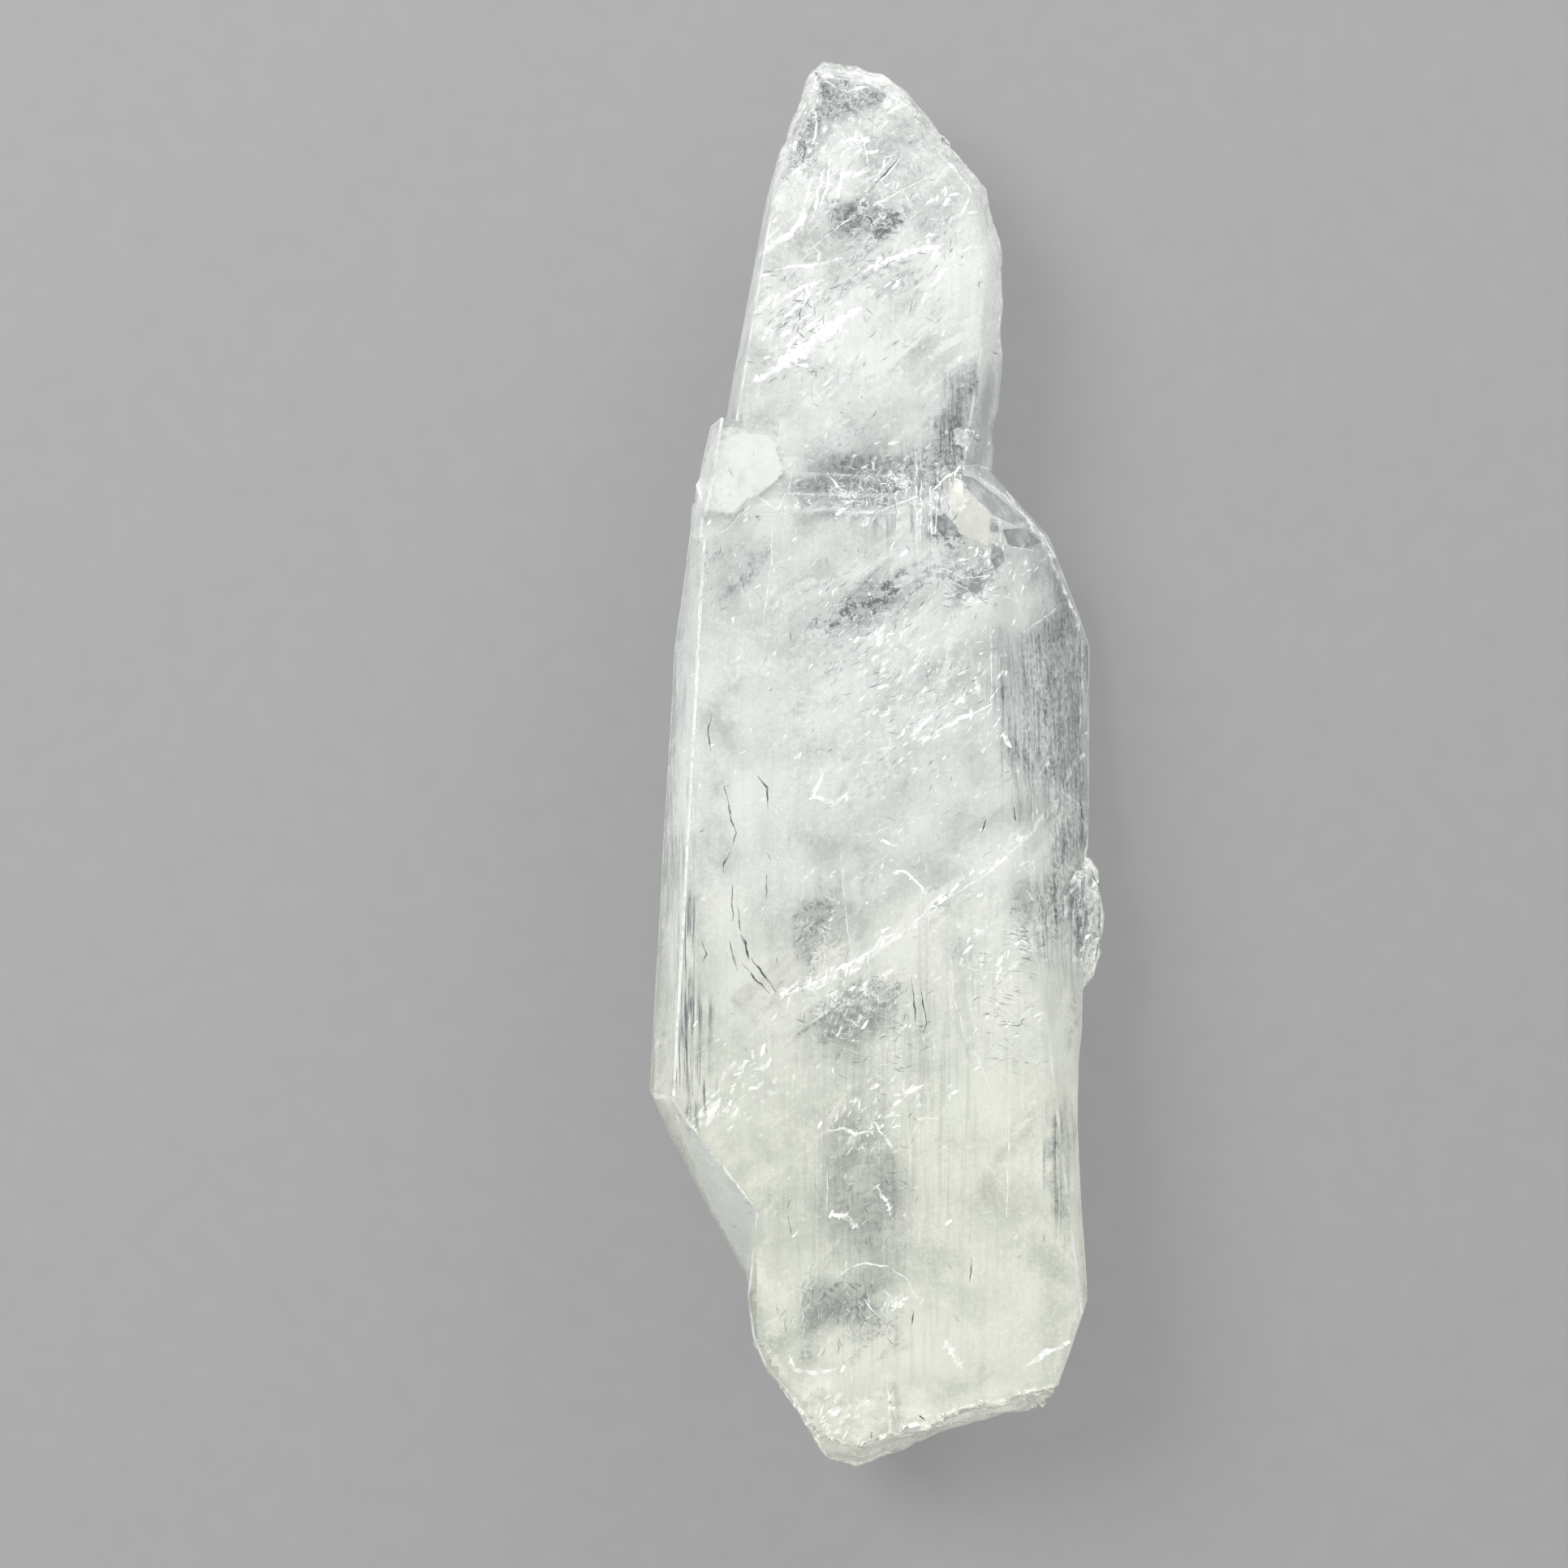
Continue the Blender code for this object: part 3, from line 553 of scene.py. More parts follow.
# Bright cracks: width in view pixels, then how far across and down each of their points is
BRIGHT_CRACKS = [
    (1.8, 1266, 1098, 1280, 1113, 1288, 1133, 1296, 1146, 1306, 1152, 1308, 1166),
    (1.3, 1290, 1134, 1298, 1128, 1306, 1120),
    (1.2, 1284, 1074, 1286, 1094, 1289, 1112),
    (1.2, 1306, 1040, 1312, 1058, 1313, 1074),
    (2.0, 1262, 1070, 1270, 1077, 1276, 1076),
    (4.0, 1147, 908, 1158, 898, 1176, 889, 1201, 879, 1219, 869),
    (3.5, 1121, 907, 1132, 896, 1144, 884),
    (5.0, 1001, 983, 1008, 966, 1015, 953),
    (6.0, 1000, 981, 1015, 984, 1030, 988, 1043, 979),
    (2.6, 1276, 970, 1283, 953, 1293, 940, 1298, 928),
    (6.0, 1236, 905, 1241, 914, 1246, 922),
    (5.0, 1256, 910, 1266, 919, 1273, 931, 1276, 969),
    (2.6, 1309, 744, 1292, 758, 1273, 773, 1254, 785),
    (6.5, 1311, 973, 1317, 955, 1325, 938, 1338, 930),
    (6.0, 1265, 1034, 1287, 1008, 1313, 976),
    (4.0, 1313, 976, 1323, 985, 1333, 996),
    (3.5, 1087, 1036, 1097, 1040, 1107, 1043),
    (4.0, 1098, 1075, 1114, 1073, 1128, 1085, 1140, 1103),
    (2.4, 956, 1231, 1001, 1212, 1050, 1186, 1102, 1157, 1140, 1125, 1170, 1106),
    (2.0, 1170, 1106, 1215, 1078, 1242, 1054, 1275, 1022),
    (4.5, 1020, 1394, 1038, 1390, 1053, 1396, 1072, 1394),
    (4.0, 1076, 1383, 1088, 1398, 1102, 1417),
    (3.5, 1112, 1332, 1115, 1347, 1140, 1337),
    (4.0, 1129, 1381, 1142, 1378, 1155, 1379),
    (1.1, 1244, 1368, 1242, 1430, 1241, 1500),
    (1.8, 1030, 1574, 1048, 1562, 1068, 1556, 1095, 1561, 1117, 1575, 1130, 1600),
    (2.2, 1066, 1601, 1074, 1614, 1088, 1626),
    (6.0, 1023, 1497, 1041, 1499, 1059, 1514),
    (4.5, 1080, 1462, 1095, 1484, 1099, 1503),
    (1.3, 1019, 1437, 1020, 1465, 1019, 1492),
    (7.0, 1164, 1652, 1175, 1670, 1186, 1686),
    (6.0, 1263, 1684, 1292, 1666, 1324, 1652),
    # painted highlight: the crescent along the rim of the scar at the foot
    (5.0, 972, 1670, 979, 1688, 1004, 1692, 1030, 1688),
    (2.6, 1020, 582, 1034, 600, 1046, 612),
    (2.6, 1052, 630, 1080, 630, 1110, 618, 1135, 609),
    (1.4, 1128, 552, 1129, 620, 1130, 684),
    (1.0, 1134, 560, 1135, 630, 1135, 680),
    (2.2, 1147, 598, 1147, 640, 1149, 684),
    (1.2, 1155, 606, 1153, 640, 1154, 676),
    (4.2, 1222, 580, 1252, 620, 1282, 660, 1301, 700, 1325, 756, 1335, 790),
    (2.6, 1335, 790, 1334, 850, 1332, 905),
    (2.8, 1150, 604, 1164, 588, 1182, 575, 1204, 574, 1222, 579),
    (2.6, 1207, 588, 1228, 603, 1266, 636),
    (2.6, 1266, 636, 1290, 664, 1310, 706, 1334, 770),
    (3.0, 1252, 728, 1254, 745),
    (15.0, 932, 470, 968, 446, 1010, 412, 1062, 378),
    (8.0, 930, 318, 956, 300, 985, 275, 1003, 242),
    (1.8, 1000, 305, 1045, 270, 1100, 240, 1150, 214),
    (1.4, 1065, 236, 1084, 212, 1106, 186),
    (4.0, 960, 330, 1000, 326, 1040, 318),
    (8.0, 1060, 335, 1090, 322, 1135, 306, 1160, 303),
    (6.0, 1136, 372, 1150, 350, 1166, 332),
    (5.0, 960, 372, 990, 352, 1016, 344),
    (5.0, 1001, 218, 995, 246, 987, 284),
    (4.5, 1014, 212, 1008, 240, 1001, 268),
    (5.0, 1040, 206, 1035, 230, 1027, 256),
    (3.5, 1022, 196, 1020, 222, 1014, 250),
    (1.8, 1060, 160, 1068, 186, 1070, 210),
    (3.0, 1000, 130, 1006, 150, 1003, 176),
    (1.4, 1075, 232, 1096, 211, 1112, 192),
    (3.5, 1015, 100, 1045, 112, 1068, 106),
    (2.0, 829, 1351, 815, 1350, 800, 1348),
    (1.2, 866, 640, 860, 760, 852, 961, 840, 1160, 829, 1349),
    (1.6, 872, 668, 900, 648, 932, 612, 958, 626, 972, 600, 980, 575),
    (1.0, 953, 640, 950, 690, 944, 740, 938, 790),
    (3.0, 848, 1380, 870, 1415, 900, 1450, 933, 1492),
    (1.2, 1221, 770, 1222, 830, 1221, 868),
    (1.1, 1170, 1159, 1176, 1231, 1189, 1276, 1208, 1310, 1223, 1351),
    (1.2, 1049, 1178, 1042, 1120, 1036, 1052),
    (1.1, 1222, 640, 1244, 646, 1268, 644),
    (1.2, 1224, 668, 1250, 674, 1278, 680),
    (1.2, 1222, 716, 1246, 692, 1268, 664),
    (1.4, 1160, 700, 1190, 713, 1224, 709),
    (1.6, 1196, 746, 1230, 734, 1262, 742),
    (1.4, 1278, 938, 1291, 946, 1300, 952),
    (1.4, 1286, 930, 1291, 944, 1294, 958),
]

# Dark cracks: the same
DARK_CRACKS = [
    (2.0, 1068, 238, 1088, 216, 1110, 192),
    (2.4, 985, 160, 993, 178, 990, 200),
    (2.2, 1000, 120, 1016, 112, 1030, 118),
    (2.0, 1052, 262, 1072, 268, 1080, 286),
    (2.4, 934, 955, 944, 970, 945, 984, 947, 998),
    (1.8, 945, 1050, 950, 1063),
    (2.0, 892, 964, 900, 1000, 906, 1027, 901, 1044),
    (2.2, 899, 1050, 892, 1065, 891, 1076),
    (1.8, 903, 1091, 903, 1136),
    (2.0, 908, 1118, 914, 1148),
    (3.4, 914, 1152, 919, 1168, 922, 1182),
    (2.0, 899, 1159, 904, 1180, 909, 1197),
    (1.8, 925, 1180, 942, 1203, 956, 1223),
    (1.8, 914, 1186, 934, 1210, 952, 1229),
    (1.8, 944, 1076, 945, 1110),
    (1.6, 970, 1499, 974, 1521),
    (1.6, 1197, 1548, 1194, 1581),
    (1.8, 1126, 1615, 1124, 1632),
    (1.6, 1176, 1622, 1181, 1627),
    (1.6, 1250, 993, 1252, 1013),
    (1.8, 1216, 1009, 1209, 1027),
    (1.6, 1123, 1204, 1125, 1227, 1129, 1260),
    (1.4, 1134, 1219, 1142, 1261, 1138, 1276),
    (1.6, 876, 880, 872, 905, 876, 925),
    (2.0, 1334, 1056, 1346, 1068, 1355, 1100, 1357, 1150, 1350, 1196, 1338, 1218),
    (1.8, 1333, 1084, 1339, 1130, 1334, 1176),
    (2.2, 1331, 985, 1336, 1010, 1333, 1040),
    (1.6, 866, 1160, 870, 1175, 866, 1186),
]

# Patches strewn with short fine cracks: middle across, down, half sizes, turn and its spread in
# degrees, number, length in view pixels
STREWN_PATCHES = [
    (1304, 860, 34, 130, 88, 9, 130, 13), (1346, 1140, 14, 64, 90, 80, 110, 9),
    (1190, 541, 16, 12, 20, 60, 20, 10), (1258, 1158, 20, 26, 0, 22, 44, 14),
    (1238, 1250, 34, 76, 0, 24, 60, 15), (1110, 1290, 60, 60, 10, 30, 40, 14),
    (1006, 1148, 26, 50, 70, 50, 80, 11), (1056, 1245, 60, 40, 40, 50, 130, 12),
    (1062, 270, 50, 28, 40, 50, 70, 12), (985, 172, 22, 48, 60, 50, 70, 10),
    (1045, 118, 46, 18, 25, 40, 50, 10), (1110, 180, 50, 70, -40, 50, 70, 11),
    (1090, 330, 120, 60, 30, 30, 90, 14), (990, 400, 60, 90, 40, 30, 90, 14),
    (1075, 595, 96, 36, 30, 60, 110, 13), (1130, 615, 44, 54, 88, 5, 22, 30),
    (1062, 606, 60, 24, 20, 40, 60, 16), (1195, 710, 46, 50, 10, 60, 80, 15),
    (1066, 748, 60, 50, 40, 20, 80, 14), (1110, 860, 120, 80, 38, 20, 90, 14),
    (905, 700, 46, 60, 80, 40, 50, 10), (1000, 1610, 24, 40, 70, 30, 44, 16),
    (1060, 1612, 34, 34, 110, 30, 44, 16), (1085, 1440, 60, 100, 60, 50, 60, 13),
    (1345, 1140, 12, 70, 60, 60, 60, 9), (1080, 1000, 220, 620, 45, 40, 160, 12),
]
PATCH_SPREAD = 0.55  # how far they scatter, as a share of the half sizes
SHORTNESS = (0.4, 1.2)
FINE_WIDTHS = (0.7, 1.8)
FINE_BEND = 0.12

CRACK_END = 0.3  # width at a crack's ends, as a share of its middle
CRACK_RAGGEDNESS = (0.2, 1.3)
LEAP = 1.0  # a crack breaks off where the skin drops by more than this
PATH_STEP = 5.0  # between the points of a crack, in view pixels
WANDER, WANDER_TURNS = 2.0, 0.09
SPLINTER_LENGTHS = (1.0, 3.5)
SPLINTER_SPREAD, SPLINTER_SLIMNESS = 16.0, 0.24
SPLINTER_REACH, REACH_CHANGE, REACH_STEP = 0.7, 0.5, 9.7
CORNERS = 6  # of a splinter or a fleck


def strewn_cracks(seed, share):
    """Short fine cracks, strewn over the patches; share is the part of each number that is drawn."""
    draw = random.Random(seed)
    cracks = []
    for across, down, half_across, half_down, turn, spread, count, length in STREWN_PATCHES:
        for _ in range(round(share * count)):
            x = across + draw.gauss(0.0, PATCH_SPREAD) * half_across
            y = down + draw.gauss(0.0, PATCH_SPREAD) * half_down
            angle = radians(draw.gauss(turn, spread))
            reach = 0.5 * length * draw.uniform(*SHORTNESS)
            aside, rise = reach * cos(angle), reach * sin(angle)
            bend = draw.gauss(0.0, FINE_BEND)
            cracks.append((draw.uniform(*FINE_WIDTHS), x - aside, y + rise,
                           x + bend * rise, y + bend * aside, x + aside, y - rise))
    return cracks


# Cracks: piece, their table, widening, share of their points with a splinter, finish
CRACKS = [
    ("bright_cracks", BRIGHT_CRACKS, 1.35, 0.45, "white crack"),
    ("dark_cracks", DARK_CRACKS, 1.3, 0.0, "dark crack"),
    ("bright_fine_cracks", strewn_cracks(3, 0.7), 1.2, 0.0, "fine white crack"),
    ("grey_fine_cracks", strewn_cracks(4, 1.0), 1.3, 0.0, "grey crack"),
]


def smooth_path(corners):
    """Points every few pixels along a line through the corners, with a small wander."""
    path = []
    for start, end in zip(corners, corners[1:]):
        count = max(int(hypot(end[0] - start[0], end[1] - start[1]) / PATH_STEP), 1)
        for number in range(count):
            share = number / count
            path.append((start[0] + (end[0] - start[0]) * share,
                         start[1] + (end[1] - start[1]) * share))
    path.append(corners[-1])
    wandering = []
    for across, down in path:
        shift = noise.noise_vector(Vector((across, down, 0.0)) * WANDER_TURNS) * WANDER
        wandering.append((across + shift.x, down + shift.y))
    return wandering


def add_ring(points, faces, ring):
    faces.append(tuple(range(len(points), len(points) + len(ring))))
    points += ring


def add_splinter(points, faces, tree, middle, length, turn):
    """A ragged six-sided sliver just under the skin, at a place of the view."""
    ring = []
    for step in range(CORNERS):
        way = 2.0 * pi * step / CORNERS
        ragged = noise.noise(Vector((*middle, REACH_STEP * step)))
        reach = SPLINTER_REACH + REACH_CHANGE * ragged
        along = 0.5 * length * reach * cos(way)
        over = 0.5 * length * SPLINTER_SLIMNESS * reach * sin(way)
        place = mark_place(tree, *turned(*middle, along, over, radians(turn)))
        if place is None:
            return
        ring.append(place)
    add_ring(points, faces, ring)


def make_cracks(name, tree, cracks, widening, barbs, material):
    """Thin ragged ribbons along the cracks, widest in the middle of each, with side splinters."""
    draw = random.Random(len(cracks))
    points, faces = [], []
    for width, *corners in cracks:
        path = smooth_path(list(zip(corners[::2], corners[1::2])))
        last = None
        for number, (across, down) in enumerate(path):
            ahead = path[min(number + 1, len(path) - 1)]
            behind = path[max(number - 1, 0)]
            way = Vector((ahead[0] - behind[0], ahead[1] - behind[1], 0.0)).normalized()
            bulge = sin(pi * number / (len(path) - 1))
            half = 0.5 * width * widening * (CRACK_END + (1.0 - CRACK_END) * bulge)
            left = half * draw.uniform(*CRACK_RAGGEDNESS)
            right = half * draw.uniform(*CRACK_RAGGEDNESS)
            pair = [mark_place(tree, across - way.y * side, down + way.x * side)
                    for side in (-left, right)]
            if None not in pair:
                start = len(points)
                points += pair
                if last is not None and (pair[0] - points[last]).length < LEAP:
                    faces.append((last, last + 1, start + 1, start))
                last = start
            if draw.random() < barbs:
                add_splinter(points, faces, tree, (across, down),
                             width * draw.uniform(*SPLINTER_LENGTHS),
                             draw.gauss(SLANT, SPLINTER_SPREAD))
    cracked = piece_from(name, points, faces, material)
    remove_loose_points(cracked)
    lies_inside(cracked)


# Outlines of the small deep facets at the shoulder, in the view, which are dark with painted shade
DEEP_FACETS = [
    [(1177, 583), (1200, 588), (1232, 612), (1262, 641), (1254, 648), (1224, 634), (1196, 606)],
    [(1220, 637), (1230, 640), (1232, 656), (1221, 655)],
    [(1222, 668), (1236, 676), (1240, 690), (1230, 700), (1221, 694)],
    [(1191, 722), (1203, 713), (1215, 714), (1213, 724), (1200, 735)],
    [(1153, 640), (1164, 632), (1180, 650), (1181, 660), (1168, 661), (1154, 656)],
    [(1236, 652), (1264, 650), (1284, 668), (1262, 676), (1244, 672)],
]

# Patches: piece, finish, longest edge of its mesh in view pixels, outline in the view
COARSE, FINE = 7.0, 3.0
PATCHES = [
    ("milky_plate", "milky plate", COARSE,
     [(849, 640), (853, 600), (864, 566), (880, 545), (912, 532), (946, 536), (974, 560),
      (980, 575), (960, 618), (932, 611), (900, 643), (868, 667), (852, 663)]),
    ("cream_kite", "cream facet", COARSE,
     [(1167, 582), (1180, 590), (1193, 604), (1218, 631), (1219, 676), (1199, 663), (1183, 658),
      (1172, 628)]),
    ("shoulder_chip", "pale facet", FINE,
     [(1174, 530), (1180, 526), (1185, 534), (1191, 538), (1198, 539), (1206, 537), (1203, 544),
      (1197, 549), (1190, 546), (1186, 551), (1180, 547), (1177, 538)]),
    ("shoulder_knot", "pale facet", FINE,
     [(1254, 684), (1270, 676), (1290, 677), (1300, 690), (1297, 704), (1282, 692),
      (1268, 692)]),
    *((f"deep_facet_{number}", "painted shade facet", COARSE, outline)
      for number, outline in enumerate(DEEP_FACETS, 1)),
    ("end_facet", "pale facet", COARSE,
     [(838, 1378), (848, 1382), (870, 1415), (886, 1432), (928, 1490), (925, 1550), (919, 1584),
      (892, 1535), (874, 1487), (858, 1430)]),
    ("grey_band", "grey facet", COARSE,
     [(1168, 1159), (1186, 1155), (1192, 1240), (1206, 1290), (1223, 1351), (1196, 1312),
      (1176, 1260)]),
    ("pale_wedge", "faint panel", COARSE,
     [(1034, 1050), (1062, 1050), (1060, 1120), (1050, 1180), (1042, 1130)]),
    ("pale_band", "faint panel", COARSE,
     [(990, 861), (1016, 858), (1024, 930), (1020, 985), (1004, 978)]),
]


def make_patch(name, tree, outline, longest, material):
    """A thin patch with the given outline, following the skin."""
    bm = bmesh.new()
    bm.faces.new([bm.verts.new((across, down, 0.0)) for across, down in outline])
    split_long_edges(bm, longest)
    places = [(vert, mark_place(tree, vert.co.x, vert.co.y)) for vert in bm.verts]
    for vert, place in places:
        if place is not None:
            vert.co = place
    lost = [vert for vert, place in places if place is None]
    bmesh.ops.delete(bm, geom=lost, context="VERTS")
    lies_inside(piece_of(name, bm, material))


# Clusters of bright flecks, painted white and glowing as glints: middle across, down, half sizes,
# turn, number, size in mm
FLECK_CLUSTERS = [
    (1190, 540, 20, 13, 0, 26, 0.42), (1348, 1190, 12, 34, 0, 40, 0.55),
    (1344, 1105, 10, 40, 0, 24, 0.50), (892, 1338, 78, 12, 44, 30, 0.44),
    (925, 1330, 62, 16, 60, 26, 0.40), (884, 1368, 18, 14, 0, 12, 0.60),
    (915, 1362, 80, 26, 30, 40, 0.26), (990, 390, 55, 70, 35, 170, 0.55),
    (1110, 330, 80, 40, 15, 70, 0.50), (1060, 190, 90, 90, 0, 170, 0.36),
    (1150, 260, 60, 50, 0, 80, 0.34), (1005, 1208, 60, 9, 20, 80, 0.36),
    (1085, 1166, 62, 9, 34, 90, 0.36), (1150, 1116, 40, 9, 38, 60, 0.34),
    (1245, 1048, 80, 12, 42, 70, 0.30), (1040, 1235, 60, 50, 30, 110, 0.40),
    (1110, 800, 90, 100, 35, 170, 0.36), (1130, 900, 110, 36, 32, 120, 0.38),
    (1220, 1200, 60, 110, 0, 90, 0.40), (1090, 1370, 70, 50, 10, 60, 0.40),
    (1100, 600, 90, 50, 0, 70, 0.36), (1240, 700, 60, 50, 30, 60, 0.36),
    (1080, 900, 240, 720, 0, 800, 0.24), (1220, 690, 60, 60, 0, 60, 0.30),
    (1000, 390, 80, 60, 35, 90, 0.34), (1060, 1750, 90, 40, 0, 90, 0.40),
    (1345, 1140, 14, 76, 0, 90, 0.42),
]
FLECK_SEED = 7
FLECK_SPREAD = 0.5  # how far they scatter, as a share of the half sizes
FLECK_DEPTH = 0.9  # and how far below the other marks, in millimetres
FLECK_TURN, FLECK_TURN_SPREAD, FLECK_TILT = 48.0, 22.0, 0.25
FLECK_LENGTHS, FLECK_SMALLNESS = (0.3, 1.25), 1.6
FLECK_BREADTHS, FLECK_RAGGEDNESS = (0.10, 0.38), (0.45, 1.0)


def make_flecks(tree, material):
    """Small chips and bubbles, painted bright as glints, in clusters along the healed fractures."""
    draw = random.Random(FLECK_SEED)
    points, faces = [], []
    for across, down, half_across, half_down, turn, count, size in FLECK_CLUSTERS:
        for _ in range(count):
            along = draw.gauss(0.0, FLECK_SPREAD) * half_across
            over = draw.gauss(0.0, FLECK_SPREAD) * half_down
            place, inward = seen_on_skin(tree, *turned(across, down, along, over, radians(turn)))
            if place is None:
                continue
            centre = place + inward * (MARK_DEPTH + abs(draw.gauss(0.0, FLECK_DEPTH)))
            if depth_at(tree, centre) < 0.5 * MARK_DEPTH:
                continue
            way = radians(draw.gauss(FLECK_TURN, FLECK_TURN_SPREAD))
            long_way = Vector((cos(way), sin(way), draw.gauss(0.0, FLECK_TILT)))
            short_way = Vector((-sin(way), cos(way), draw.gauss(0.0, FLECK_TILT)))
            length = size * draw.uniform(*FLECK_LENGTHS) ** FLECK_SMALLNESS
            breadth = length * draw.uniform(*FLECK_BREADTHS)
            ring = []
            for corner in range(CORNERS):
                angle = 2.0 * pi * corner / CORNERS
                reach = draw.uniform(*FLECK_RAGGEDNESS)
                ring.append(centre + long_way * length * reach * cos(angle)
                            + short_way * breadth * reach * sin(angle))
            add_ring(points, faces, ring)
    lies_inside(piece_from("flecks", points, faces, material))


# Scars of the front face, whose rims are sharp but get no painted highlight: middle x, y and half
# sizes
SCARS = [
    (-0.5, 16.3, 6.5, 3.4), (-0.2, -29.5, 3.2, 2.6), (-3.8, -33.4, 2.0, 1.5),
]


def is_in_scar(point):
    """Whether a place lies among the scars of the front face."""
    return point.z > FRONT_FROM and any(abs(point.x - x) < half_x and abs(point.y - y) < half_y
                                        for x, y, half_x, half_y in SCARS)


def is_low_wall(face):
    """Whether a face belongs to the low wall of a growth step."""
    heights = [vert.co.z for vert in face.verts]
    return max(heights) - min(heights) < LOW_WALL and abs(face.normal.z) < STEEP


def gets_edge_highlight(edge):
    """Whether an edge is a crest of the crystal that gets a painted highlight."""
    if len(edge.link_faces) != 2 or edge.calc_face_angle_signed() < radians(HIGHLIGHT_CREST_ANGLE):
        return False
    start, end = (vert.co for vert in edge.verts)
    middle = (start + end) / 2.0
    if etching_at(middle) > ETCHED or min(start.z, end.z) < REST_HEIGHT or is_in_scar(middle):
        return False
    return not any(is_low_wall(face) for face in edge.link_faces)


def make_edge_highlights(material):
    """Painted highlights: a narrow pale line along every crest of the crystal, where it catches the
    light.
    """
    bm = solid_crystal()
    points, faces = [], []
    for edge in filter(gets_edge_highlight, bm.edges):
        start, end = (vert.co for vert in edge.verts)
        first, second = (face.normal for face in edge.link_faces)
        inward = -(first + second).normalized()
        sideways = (end - start).normalized().cross(inward).normalized()
        corner = len(points)
        for end_point in (start, end):
            middle = end_point + inward * EDGE_DEPTH
            points += [middle - sideways * EDGE_WIDTH / 2.0, middle + sideways * EDGE_WIDTH / 2.0]
        faces.append((corner, corner + 1, corner + 3, corner + 2))
    bm.free()
    lies_inside(piece_from("edge_highlights", points, faces, material))


def make_frost(skin, material):
    """White crests just under the etched tip, the broken foot and the pitted lump."""
    bm = in_millimetres(skin.data)
    plain = [vert for vert in bm.verts if etching_at(vert.co) < FROSTED or vert.co.z < REST_HEIGHT]
    bmesh.ops.delete(bm, geom=plain, context="VERTS")
    bm.normal_update()
    for vert in bm.verts:
        vert.co -= vert.normal * FROST_DEPTH
    crests = []
    for vert in bm.verts:
        level = smooth(abs(vert.normal.z), *LEVEL_RANGE)
        strength = FROST_SIDE - (FROST_SIDE - FROST_TOP) * level
        crests.append(etching_at(vert.co) * crest_at(vert.co) * strength)
    frost = piece_of("frost", bm, material)
    mark_points(frost, "milk", crests)
    mark_points(frost, "feather", [FROST_FEATHER * crest for crest in crests])
    lies_inside(frost)


# Shader nodes

def fill(tree, node, given):
    """Link the sockets of a node that are given a socket, and set the others to plain values."""
    for label, value in given.items():
        if isinstance(value, bpy.types.NodeSocket):
            tree.links.new(value, node.inputs[label])
        else:
            node.inputs[label].default_value = value


def new_node(tree, kind, given):
    node = tree.nodes.new("ShaderNode" + kind)
    fill(tree, node, given)
    return node


def math_node(tree, operation, first, second):
    node = new_node(tree, "Math", {0: first, 1: second})
    node.operation = operation
    return node.outputs[0]


def range_node(tree, value, low, high, to_low=0.0, to_high=1.0):
    node = new_node(tree, "MapRange", {0: value, 1: low, 2: high, 3: to_low, 4: to_high})
    node.interpolation_type = "SMOOTHSTEP"
    return node.outputs["Result"]


def millimetre_place(tree, turn=0.0, stretch=(1.0, 1.0, 1.0)):
    """The place on the piece in millimetres, turned about Z and stretched."""
    place = new_node(tree, "TexCoord", {}).outputs["Object"]
    rotate = new_node(tree, "VectorRotate", {"Vector": place, "Angle": turn})
    rotate.rotation_type = "Z_AXIS"
    scales = [share / MM for share in stretch]
    scaled = new_node(tree, "VectorMath", {0: rotate.outputs["Vector"], 1: scales})
    scaled.operation = "MULTIPLY"
    return scaled.outputs["Vector"]


def noise_node(tree, place, scale, detail, roughness, distortion=0.0):
    node = new_node(tree, "TexNoise", {"Vector": place, "Scale": scale, "Detail": detail,
                                       "Roughness": roughness, "Distortion": distortion})
    return node.outputs[0]


def noise_mask(tree, place, noise_look, span):
    return range_node(tree, noise_node(tree, place, *noise_look), *span)


def mix_colours(tree, share, first, second):
    """The first colour where the share is 0, and the second where it is 1."""
    node = tree.nodes.new("ShaderNodeMix")
    node.data_type = "RGBA"
    fill(tree, node, {"Factor": share, "A": (*first, 1.0), "B": (*second, 1.0)})
    return node.outputs["Result"]


# The inclusions: the group's inputs, then its noises (scale, detail, roughness, distortion) and
# the spans of them that become 0 to 1
INCLUSION_INPUTS = {"Milk": 0.5, "Feather": 0.0, "Striae": 0.0, "Cloud": 0.8, "Grain": 0.4,
                    "Flakes": 1.0}
CLOUD, CLOUD_SPAN = (0.30, 3.0, 0.6, 0.5), (0.32, 0.62)
SANDY, SANDY_SPAN = (3.3, 2.0, 0.7), (0.42, 0.64)
LINES, LINES_SPAN = (1.1, 3.0, 0.65), (0.46, 0.62)
STREAKS, WISP_SPAN, FLAKE_SPAN = (0.85, 4.0, 0.62, 0.9), (0.46, 0.66), (0.585, 0.615)
STREAK_STRETCH = (0.26, 1.0, 0.5)
LINE_STRETCH = (4.2, 0.16, 2.4)
LEAST_GRAIN = 0.3
FULLEST = 0.97  # even the thickest milk lets a little light through


